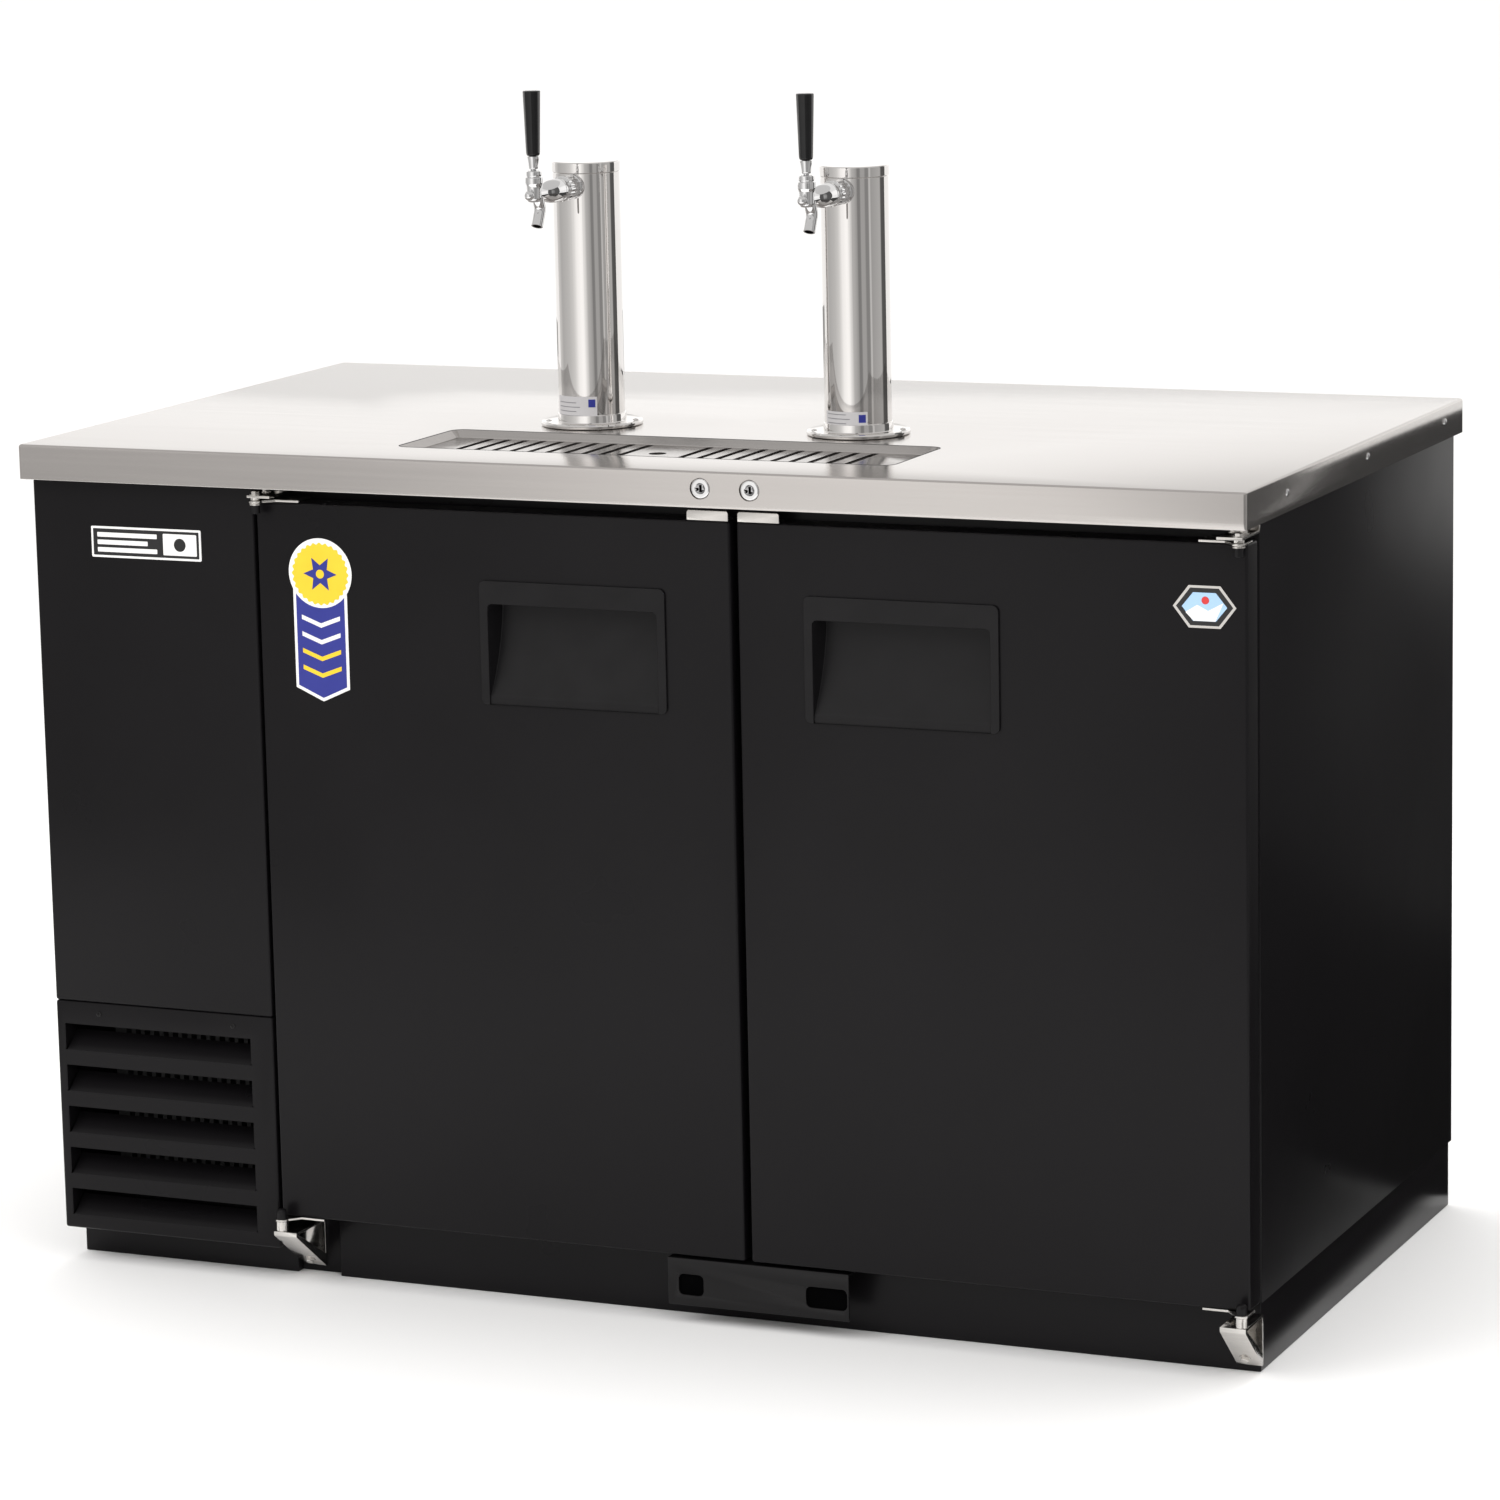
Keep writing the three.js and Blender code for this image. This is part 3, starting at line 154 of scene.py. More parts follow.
polished = material("polished", (0.80, 0.782, 0.768), 0.03, metal=1.0, scale=5.0, spread=0.01,
                    stretch=(6, 6, 1), rough_spread=0.01, relief=(0.008, 4.0, (30, 30, 1)))
chrome = material("chrome", (0.78, 0.78, 0.785), 0.045, metal=1.0, scale=30.0, spread=0.015,
                  rough_spread=0.015, relief=(0.01, 60.0))
nickel = material("nickel", (0.62, 0.60, 0.575), 0.16, metal=1.0, spread=0.05,
                  stretch=(1, 4, 4), rough_spread=0.05, relief=(0.03, 200.0))
liner_white = material("liner_white", (0.70, 0.71, 0.72), 0.42, metal=0.15, scale=12.0, spread=0.03,
                       rough_spread=0.05, relief=(0.10, 500.0))
galvanised = material("galvanised", (0.42, 0.43, 0.44), 0.42, metal=0.9, scale=90.0, spread=0.22,
                      rough_spread=0.10, relief=(0.05, 120.0))
fin_stock = material("fin_stock", (0.56, 0.58, 0.61), 0.36, metal=0.95, scale=20.0, spread=0.08,
                     stretch=(40, 1, 1), rough_spread=0.08, relief=(0.25, 30.0))
# Condenser coil fins: a black coating, made darker than the black paint as painted shade, so the louvre gaps
# read dark
black_coat_and_shade_fins = material("black_coat_and_shade_fins", (0.0015, 0.0015, 0.0016), 0.75, scale=20.0, spread=0.15,
                     stretch=(40, 1, 1), relief=(0.2, 30.0))
# Painted shade: a near-black matte surface for pieces put where there is only shade, in slots, a keyhole and
# a bore
painted_shade_black = material("painted_shade_black", (0.0012, 0.0012, 0.0013), 0.9, scale=30.0, spread=0.2,
                      rough_spread=0.03, IOR=1.05)
hose = material("hose", (0.74, 0.71, 0.62), 0.35, spread=0.05, rough_spread=0.05, relief=(0.03, 200.0))


def print_ink(name, color):
    return material(name, color, 0.35, scale=25.0, spread=0.03, rough_spread=0.04, relief=(0.02, 500.0))


ink_white = print_ink("ink_white", (0.80, 0.79, 0.78))
ink_black = print_ink("ink_black", (0.007, 0.007, 0.008))
ink_yellow = print_ink("ink_yellow", (0.82, 0.54, 0.012))
ink_blue = print_ink("ink_blue", (0.014, 0.021, 0.23))
ink_sky = print_ink("ink_sky", (0.36, 0.55, 0.78))
ink_red = print_ink("ink_red", (0.60, 0.03, 0.03))
ink_grey = print_ink("ink_grey", (0.20, 0.20, 0.21))
label_film = print_ink("label_film", (0.52, 0.51, 0.52))


# Shape helpers, in millimetres

# The two coordinates across each axis, and its own
AXES = {"x": (1, 2, 0), "y": (2, 0, 1), "z": (0, 1, 2)}


def point(axis, u, v, along):
    """A point from its two coordinates across an axis and the one along it."""
    a, b, c = AXES[axis]
    out = [0.0, 0.0, 0.0]
    out[a], out[b], out[c] = u, v, along
    return Vector(out)


def loft(bm, rings, closed_ends=True):
    """Joins rings of equally many points; a ring of one point closes to that point."""
    made = [[bm.verts.new(p) for p in ring] for ring in rings]
    for near, far in zip(made, made[1:]):
        count = max(len(near), len(far))
        for i in range(count):
            j = (i + 1) % count
            if len(near) == 1:
                bm.faces.new((near[0], far[j], far[i]))
            elif len(far) == 1:
                bm.faces.new((near[i], near[j], far[0]))
            else:
                bm.faces.new((near[i], near[j], far[j], far[i]))
    if closed_ends:
        for ring in (made[0], made[-1]):
            if len(ring) > 2:
                bm.faces.new(ring)
    return made


def circle(axis, centre, radius, along, count):
    a, b, _ = AXES[axis]
    if radius <= 0:
        return [point(axis, centre[a], centre[b], along)]
    turns = [2 * math.pi * i / count for i in range(count)]
    return [point(axis, centre[a] + radius * math.cos(t), centre[b] + radius * math.sin(t), along)
            for t in turns]


def lathe(bm, axis, centre, profile, count=72, ring=False):
    """A turned shell: profile is a row of (radius, place along the axis)."""
    base = centre[AXES[axis][2]]
    rings = [circle(axis, centre, radius, base + along, count) for radius, along in profile]
    if not ring:
        loft(bm, rings)
        return
    made = loft(bm, rings, closed_ends=False)
    first, last = made[0], made[-1]
    for i in range(count):
        j = (i + 1) % count
        bm.faces.new((last[i], last[j], first[j], first[i]))


def arc(centre, radius, start, end, steps):
    """Points of an arc in (radius, along) or plan coordinates, angles in degrees."""
    out = []
    for i in range(steps + 1):
        t = math.radians(start + (end - start) * i / steps)
        out.append((centre[0] + radius * math.cos(t), centre[1] + radius * math.sin(t)))
    return out


def rounded(u, v, radius, steps=8):
    """Outline of a rectangle with round corners."""
    return (arc((u[1] - radius, v[0] + radius), radius, -90, 0, steps)
            + arc((u[1] - radius, v[1] - radius), radius, 0, 90, steps)
            + arc((u[0] + radius, v[1] - radius), radius, 90, 180, steps)
            + arc((u[0] + radius, v[0] + radius), radius, 180, 270, steps))


def prism(bm, axis, outline, span):
    loft(bm, [[point(axis, u, v, along) for u, v in outline] for along in span])


def box(bm, x, y, z):
    prism(bm, "z", [(x[0], y[0]), (x[1], y[0]), (x[1], y[1]), (x[0], y[1])], z)


def tube(bm, path, radius, count):
    """A round tube along a path that stays in a plane of constant X."""
    rings = []
    for i, here in enumerate(path):
        ahead = path[min(i + 1, len(path) - 1)]
        behind = path[max(i - 1, 0)]
        along = (ahead - behind).normalized()
        out = Vector((1, 0, 0)).cross(along)
        rings.append([here + radius * (math.cos(t) * Vector((1, 0, 0)) + math.sin(t) * out)
                      for t in (2 * math.pi * k / count for k in range(count))])
    loft(bm, rings)


def curve_through(points, steps):
    """A smooth plane curve through the points, divided between each two of them."""
    rows = [Vector(p) for p in points]
    rows = [rows[0] * 2 - rows[1], *rows, rows[-1] * 2 - rows[-2]]
    out = []
    for a, b, c, d in zip(rows, rows[1:], rows[2:], rows[3:]):
        for k in range(steps):
            t = k / steps
            out.append(0.5 * (2 * b + (c - a) * t + (2 * a - 5 * b + 4 * c - d) * t ** 2
                              + (3 * b - a - 3 * c + d) * t ** 3))
    return out + [rows[-2]]


def ball(bm, centre, radius, count):
    steps = count // 2
    profile = [(radius * math.sin(math.pi * i / steps), -radius * math.cos(math.pi * i / steps))
               for i in range(steps + 1)]
    profile[0], profile[-1] = (0, -radius), (0, radius)
    lathe(bm, "z", centre, profile, count)


def turned(axis, centre, profile, count=72, ring=False):
    """A new bmesh that holds one turned shell."""
    bm = bmesh.new()
    lathe(bm, axis, centre, profile, count, ring)
    return bm


def rod(radius, first, last):
    """Profile of a plain cylinder."""
    return [(0, first), (radius, first), (radius, last), (0, last)]


def block(x, y, z):
    bm = bmesh.new()
    box(bm, x, y, z)
    return bm


def lofted(*rings):
    bm = bmesh.new()
    loft(bm, rings)
    return bm


def grow(span, by):
    return (span[0] - by, span[1] + by)


def about(middle, half):
    """The span that reaches half a width to either side of a middle."""
    return (middle - half, middle + half)


def tidy(bm):
    bmesh.ops.remove_doubles(bm, verts=bm.verts, dist=WELD)
    bmesh.ops.recalc_face_normals(bm, faces=bm.faces)


def linked(name, data):
    made = bpy.data.objects.new(name, data)
    scene.collection.objects.link(made)
    return made


def scratch(bm):
    """A temporary object of a bmesh, for a boolean."""
    tidy(bm)
    mesh = bpy.data.meshes.new("scratch")
    bm.to_mesh(mesh)
    bm.free()
    return linked("scratch", mesh)


def carve(bm, cutters, operation="DIFFERENCE"):
    """The bmesh less each cutter, or joined with it."""
    base = scratch(bm)
    tools = [scratch(tool) for tool in cutters]
    for tool in tools:
        step = base.modifiers.new("carve", "BOOLEAN")
        step.operation = operation
        step.solver = "EXACT"
        step.object = tool
    bpy.context.view_layer.update()
    mesh = bpy.data.meshes.new_from_object(base.evaluated_get(bpy.context.evaluated_depsgraph_get()))
    out = bmesh.new()
    out.from_mesh(mesh)
    for temp in [base, *tools]:
        data = temp.data
        bpy.data.objects.remove(temp)
        bpy.data.meshes.remove(data)
    bpy.data.meshes.remove(mesh)
    bmesh.ops.remove_doubles(out, verts=out.verts, dist=WELD)
    bmesh.ops.dissolve_degenerate(out, edges=out.edges, dist=WELD)
    return out


def bevel(bm, width, segments, where, angle=30):
    """Rounds the sharp edges that pass the test."""
    limit = math.radians(angle)
    edges = [e for e in bm.edges if len(e.link_faces) == 2 and e.calc_face_angle(0) > limit
             and where(e)]
    bmesh.ops.bevel(bm, geom=edges, offset=width, offset_type="OFFSET", segments=segments,
                    profile=0.5, affect="EDGES", clamp_overlap=True)


def piece(name, bm, surface, body, *stands_for, soft=0.0, segments=2, angle=35):
    """Finishes a bmesh in millimetres as a piece of the object that rides on a CAD body."""
    tidy(bm)
    for vertex in bm.verts:
        vertex.co *= MM
    mesh = bpy.data.meshes.new(name)
    bm.to_mesh(mesh)
    bm.free()
    mesh.materials.append(surface)
    mesh.polygons.foreach_set("use_smooth", [True] * len(mesh.polygons))
    made = linked(name, mesh)
    if soft:
        edge = made.modifiers.new("edges", "BEVEL")
        edge.width = soft * MM
        edge.segments = segments
        edge.limit_method = "ANGLE"
        edge.angle_limit = math.radians(angle)
        edge.harden_normals = True
    else:
        mesh.set_sharp_from_angle(angle=math.radians(angle))
    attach(made, body)
    if stands_for:
        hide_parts(*stands_for)


def from_node(node):
    """A clean copy of a CAD node's mesh, in millimetres, with its flat faces joined up."""
    source = nodes[node]
    bm = bmesh.new()
    bm.from_mesh(source.data)
    bm.transform(source.matrix_world)
    bm.transform(Matrix.Scale(1 / MM, 4))
    bmesh.ops.remove_doubles(bm, verts=bm.verts, dist=WELD)
    bmesh.ops.dissolve_limit(bm, angle_limit=math.radians(FLAT), verts=bm.verts, edges=bm.edges,
                             delimit=set())
    return bm


def softened(node, surface, body, width, segments=2):
    """A CAD node's own shape with its sharp edges rounded."""
    piece(node + "_soft", from_node(node), surface, body, node, soft=width, segments=segments, angle=32)


def paint(node, surface):
    """Gives a CAD node that shows as it is its own finish."""
    nodes[node].data.materials.clear()
    nodes[node].data.materials.append(surface)


# Cabinet, worktop and tray, in the places of the solids

def shell(x, y, z, sheet, radius, steps=4):
    """A sheet-metal pan open to the back, its front and side edges rounded outside."""
    bm = block(x, y, z)
    tidy(bm)
    back = y[1] - NEAR
    bevel(bm, radius, steps, where=lambda e: not all(v.co.y > back for v in e.verts))
    hollow = block(grow(x, -sheet), (y[0] + sheet, y[1] + OVERRUN), grow(z, -sheet))
    return carve(bm, [hollow])


def tray_ring(inset, z, outset=0.0):
    x, y = grow(TRAY_X, outset - inset), grow(TRAY_Y, outset - inset)
    return [point("z", u, v, z) for u, v in rounded(x, y, TRAY_CORNER - inset + outset)]


def build_worktop():
    edge, hem, room, play = 3.4, 0.7, 1.5, 0.5
    ring_hole, ring_depth, barrel_hole, barrel_depth = 11.9, 3.3, 9.3, 26.0
    bm = block(WORKTOP_X, WORKTOP_Y, (UNDER, TOP))
    tidy(bm)
    bevel(bm, edge, 5, where=lambda e: max(v.co.z for v in e.verts) > UNDER + NEAR)
    bevel(bm, hem, 2, where=lambda e: all(v.co.z < UNDER + NEAR for v in e.verts), angle=60)
    pocket = lofted(tray_ring(FOOT_INSET, TRAY_FLOOR - TRAY_SHEET, room),
                    tray_ring(SHOULDER_INSET, SHOULDER, room),
                    tray_ring(0, TOP, room), tray_ring(0, TOP + OVERRUN, room))
    tools = [pocket]
    for _, sign in HANDS:
        x = MEETING + sign * LOCK_REACH
        hole = turned("z", (sign * TOWER_X, TOWER_Y, 0), rod(TOWER_HOLE, UNDER - OVERRUN, TOP + OVERRUN), 40)
        seat = turned("y", (x, WORKTOP_Y[0], LOCK_Z), [
            (0, -OVERRUN), (ring_hole, -OVERRUN), (ring_hole, ring_depth), (barrel_hole, ring_depth),
            (barrel_hole, barrel_depth), (0, barrel_depth)], 48)
        cam_room = block(grow((x + CAM_X[0], x + CAM_X[1]), play), (CAM_Y[0] - 0.2, CAM_Y[1] + play),
                         (UNDER - OVERRUN, LOCK_Z + CAM_HALF + play))
        tools += [hole, seat, cam_room]
    piece("worktop_slab", carve(bm, tools), stainless, "cabinet", "worktop", angle=28)


def build_tray():
    pan = lofted(tray_ring(FOOT_INSET, TRAY_FLOOR - TRAY_SHEET, TRAY_SHEET),
                 tray_ring(SHOULDER_INSET, SHOULDER, TRAY_SHEET), tray_ring(0.3, TOP, TRAY_SHEET))
    inner = lofted(tray_ring(FOOT_INSET, TRAY_FLOOR), tray_ring(SHOULDER_INSET, SHOULDER),
                   tray_ring(0, TOP), tray_ring(0, TOP + OVERRUN))
    piece("drip_pan_pressed", carve(pan, [inner]), tray_steel, "cabinet", "drip_pan", soft=0.35, angle=32)

    width, inside, proud, sunk = 1.45, 0.2, 0.12, 1.1
    seal = lofted(tray_ring(0, TOP - sunk, width), tray_ring(0, TOP + proud, width))
    middle = lofted(tray_ring(inside, TOP - OVERRUN), tray_ring(inside, TOP + OVERRUN))
    piece("drip_pan_seal", carve(seal, [middle]), rubber, "cabinet", angle=28)
    build_grate()


def build_grate():
    inset, wall = FOOT_INSET + 0.5, 1.5
    slot_starts, slots, slot_pitch = (-248, 26), 10, 22.2
    slot_half, slot_corner, slot_y, drill = 4.0, 3.9, (-265, -165), (950, 962)
    drain, drain_radius = (-12, -228.5, 0), 10
    plate = lofted(tray_ring(inset, TRAY_FLOOR + 0.3), tray_ring(inset, SHOULDER - 1.4),
                   tray_ring(inset + 0.5, SHOULDER - 0.4), tray_ring(inset + 1.3, SHOULDER))
    hollow = lofted(tray_ring(inset + wall, TRAY_FLOOR - OVERRUN), tray_ring(inset + wall, SHOULDER - wall))
    holes = bmesh.new()
    for start in slot_starts:
        for i in range(slots):
            outline = rounded(about(start + i * slot_pitch, slot_half), slot_y, slot_corner, 5)
            prism(holes, "z", outline, drill)
    lathe(holes, "z", drain, rod(drain_radius, *drill), 40)
    piece("drip_grate_slotted", carve(plate, [hollow, holes]), tray_steel, "grate", "drip_grate",
          angle=28)


def build_cabinet():
    softened("cabinet_shell", black_paint, "cabinet", 1.2)
    softened("base_frame", black_paint, "cabinet", 1.0)
    paint("rear_cover", black_paint)
    softened("centre_bracket", black_gloss, "cabinet", 0.6)
    # Painted shade: a near-black sheet behind the centre bracket's slots, so the slots read dark
    behind_bracket = (MEETING - 97, MEETING + 117), (-374.6, -373.4), (24, 71.4)
    piece("centre_bracket_shade", block(*behind_bracket), painted_shade_black, "cabinet", soft=0.3, angle=32)
    cover = shell((-SIDE, BAY_RIGHT), BAY_Y, (BAY_SEAM + 0.3, UNDER - 1), BAY_SHEET, BAY_EDGE)
    piece("bay_cover_pressed", cover, black_paint, "cabinet", "bay_cover", angle=28)
    for name, surface in (("cabinet_liner", liner_white), ("keg_floor_plate", stainless),
                          ("control_box", galvanised), ("condenser_coil", black_coat_and_shade_fins),
                          ("evaporator_coil", fin_stock), ("condenser_fan_motor", galvanised),
                          ("evaporator_fan_motor", galvanised), ("condenser_fan_blade", black_plastic),
                          ("evaporator_fan_blade", black_plastic)):
        paint(name, surface)


def build_louvres():
    """The lower panel: under each opening a flap leans in from the sheet, with a wall at either end."""
    openings, first_top, pitch, height = 5, 285.0, 49.5, 31.5
    crest_drop, depth, wall, wall_inset = 12.0, 23.6, 1.3, 0.2
    # Edges of a flap at its foot, as (how far behind the sheet, how far above the opening's foot)
    face_side = [(0, -1.6), (0.1, -0.6), (0.5, 0.2), (1.1, 0.8)]
    inner_side = [(2.0, -0.4), (1.6, -0.9), (1.5, -1.6)]
    face = shell((-SIDE, BAY_RIGHT), BAY_Y, (39, BAY_SEAM), BAY_SHEET, BAY_EDGE)
    slots = bmesh.new()
    flaps = bmesh.new()
    front, deep = DOOR_FRONT, DOOR_FRONT + depth
    for i in range(openings):
        top = first_top - pitch * i
        low, crest = top - height, top - crest_drop
        outline = rounded(LOUVRE_X, (low, top), 1.2, 4)
        prism(slots, "y", [(v, u) for u, v in outline], (front - 10, front + 4))
        flap = [(front + y, low + z) for y, z in face_side]
        flap += [(deep, crest), (deep + 0.96, crest - 1.16)]
        flap += [(front + y, low + z) for y, z in inner_side]
        prism(flaps, "x", flap, grow(LOUVRE_X, -2.7))
        end = [(front + 0.1, low + 1.0), (deep - 0.8, crest - 0.2), (deep, crest + 0.8),
               (front + 1.6, top - 0.2), (front + 0.1, top - 0.2)]
        prism(flaps, "x", end, (LOUVRE_X[0] - wall_inset, LOUVRE_X[0] + wall))
        prism(flaps, "x", end, (LOUVRE_X[1] - wall, LOUVRE_X[1] + wall_inset))
    # A strip that shuts the gap between the panel's left side and the plinth
    box(flaps, (-727.4, -722.0), (-342, -338.1), (41, 77.5))
    piece("louvre_panel_pressed", carve(face, [slots]), black_paint, "cabinet", "louvre_panel", angle=28)
    piece("louvre_flaps", flaps, black_paint, "cabinet", "louvre_panel", angle=40)


# Doors and their fittings

def door_x(sign, a, b):
    """The span between two distances from a door's free edge."""
    edge = MEETING + sign * DOOR_GAP / 2
    return tuple(sorted((edge + sign * a, edge + sign * b)))


def build_door(hand, sign):
    thickness, sheet, edge, clearance = 32, 1.2, 3.2, 1.8
    body = hand + "_door"
    skin = shell(door_x(sign, 0, DOOR_WIDTH), (DOOR_FRONT, DOOR_FRONT + thickness), DOOR_Z, sheet, edge, 5)
    window = block(grow(door_x(sign, *MOUTH_X), clearance), about(DOOR_FRONT, 10), grow(MOUTH_Z, clearance))
    piece(hand + "_door_skin", carve(skin, [window]), black_paint, body, hand + "_door_pan", angle=28)
    paint(hand + "_door_inner_panel", liner_white)
    softened(hand + "_door_gasket", rubber, body, 2.0, 3)
    build_pull(hand, sign)
    for name, width in (("top_hinge_plate", 0.4), ("bottom_hinge_plate", 0.4), ("strike_plate", 0.5)):
        softened(f"{hand}_{name}", nickel, body, width)
    for name in ("top_hinge_bracket", "bottom_hinge_bracket"):
        softened(f"{hand}_{name}", nickel, "cabinet", 0.6)


def build_pull(hand, sign):
    """A brow and two legs round a finger hollow whose floor ramps out to the lip below."""
    proud, wall, corner, mouth_corner = 3.0, 1.5, 7.0, 5.0
    deepest, lip, flare, ramp_power, ramp_steps = 25.0, -0.45, 5.5, 1.8, 26
    mouth = door_x(sign, *MOUTH_X)
    low, high = MOUTH_Z
    frame_body = bmesh.new()
    outline = rounded(door_x(sign, *PULL_X), PULL_Z, corner)
    prism(frame_body, "y", [(v, u) for u, v in outline], (DOOR_FRONT - proud, DOOR_FRONT - 0.3))
    tub = block(grow(mouth, wall), (DOOR_FRONT - wall, DOOR_FRONT + deepest + wall), grow(MOUTH_Z, wall))
    body = carve(frame_body, [tub], "UNION")
    hollow = bmesh.new()
    rings = []
    heights = [low - 16, low - 7, low - 1]
    heights += [low + (high - low) * k / ramp_steps for k in range(ramp_steps - 1)]
    heights += [high - 3.5, high - 2, high - 0.8, high]
    for z in heights:
        t = min(1.0, max(0.0, (high - z) / (high - low)))
        depth = lip + (deepest - lip) * (1 - t ** ramp_power) if z > low else lip
        rise = max(0.0, z - (high - mouth_corner))
        inset = mouth_corner - math.sqrt(max(0.0, mouth_corner ** 2 - rise ** 2))
        a, b = mouth[0] + inset, mouth[1] - inset
        slant = flare * (depth + proud) / (deepest + proud)
        outside, brow = DOOR_FRONT - 10, DOOR_FRONT - proud
        rings.append([Vector((a, outside, z)), Vector((b, outside, z)), Vector((b, brow, z)),
                      Vector((b - slant, DOOR_FRONT + depth, z)), Vector((a + slant, DOOR_FRONT + depth, z)),
                      Vector((a, brow, z))])
    loft(hollow, rings)
    piece(hand + "_pull_cast", carve(body, [hollow]), black_plastic, hand + "_door", hand + "_pull_handle",
          soft=0.8, segments=3, angle=30)


def build_lock(hand, sign):
    """A ring with a domed rim, a plug with a keyhole, and the cam on the plug's end."""
    face, dome, key, pin = WORKTOP_Y[0], 2.6, 1.2, 1.7
    centre = (MEETING + sign * LOCK_REACH, face, LOCK_Z)
    rim = arc((8.9, dome), dome, 0, -90, 8)[::-1]
    ring = turned("y", centre, [(5.8, 0.4), (6.2, 0)] + rim + [(11.5, 3), (9, 3), (9, 22), (5.8, 22)], 64,
                  ring=True)
    piece(hand + "_lock_ring", ring, chrome, "cabinet", hand + "_lock_barrel", angle=40)
    plug = turned("y", centre, [(0, 0.15), (4.9, 0.15), (5.5, 0.7), (5.5, 25.5), (0, 25.5)], 48)
    keyhole = block(about(centre[0], key), (face - OVERRUN, face + 3), about(LOCK_Z, 4.0))
    lathe(keyhole, "y", (centre[0], face, LOCK_Z + 2), rod(pin, -OVERRUN, 3), 20)
    made = carve(plug, [keyhole])
    cam = rounded(CAM_X, (-CAM_HALF, CAM_HALF), CAM_HALF - 0.3, 6)
    prism(made, "y", [(v + LOCK_Z, u + centre[0]) for u, v in cam], CAM_Y)
    piece(hand + "_lock_core", made, chrome, hand + "_lock", hand + "_lock_plug")
    # Painted shade: a near-black block just inside the keyhole, so the keyhole reads dark
    painted_keyhole_shade = block(about(centre[0], key - 0.1), (face + 0.7, face + 2.8), about(LOCK_Z, 3.8))
    piece(hand + "_lock_keyhole_painted_shade", painted_keyhole_shade, painted_shade_black, hand + "_lock")


# Towers and faucets, in heights above the worktop and distances from the column's axis

def fluted(axis, centre, radius, depth, ribs, stations):
    """A ribbed sleeve through the given (place, extra inset) stations."""
    a, b, c = AXES[axis]
    steps, sharpness = 8, 2.2
    rings = []
    for along, inset in stations:
        ring = []
        for i in range(ribs * steps):
            share = (i % steps) / steps
            low = 0.5 + 0.5 * math.cos(2 * math.pi * (share - 0.5))
            r = radius - inset - depth * low ** sharpness
            t = 2 * math.pi * i / (ribs * steps)
            ring.append(point(axis, centre[a] + r * math.cos(t), centre[b] + r * math.sin(t),
                              centre[c] + along))
        rings.append(ring)
    return lofted(*rings)


def build_tower(hand, sign):
    foot = (sign * TOWER_X, TOWER_Y, TOP)
    inside, bore = 36.6, 11.3
    flange = [(inside, 0.3), (57.6, 0.3), (58.6, 0.9), (59, 2.2), (58.9, 3.8), (58.2, 5.0), (57.0, 5.4),
              (56.0, 5.0), (55.0, 4.6), (44, 4.6)]
    collar = [(40.6, 4.9), (39.7, 5.6), (39.5, 6.8), (39.5, 13.2), (39.2, 13.9), (38.3, 14.2)]
    tube_wall = [(TUBE, 14.6), (TUBE, 290.2), (TUBE - 0.3, TUBE_TOP), (inside, TUBE_TOP)]
    column = turned("z", foot, flange + collar + tube_wall, 128, ring=True)
    hole = turned("y", (foot[0], foot[1], TOP + TAP_RISE), rod(bore, -60, 0), 40)
    piece(hand + "_tower_tube", carve(column, [hole]), polished, "cabinet", hand + "_column", angle=24)

    rim = arc((37.2, 301.4), 1.6, 0, 90, 6)
    cap = [(0, 288), (36.3, 288), (36.3, 291), (38.4, 291), (38.8, 291.4)] + rim + [(30, 303), (0, 303)]
    top = turned("z", foot, cap, 128)
    piece(hand + "_tower_cap", top, polished, "cabinet", hand + "_column_cap", angle=24)


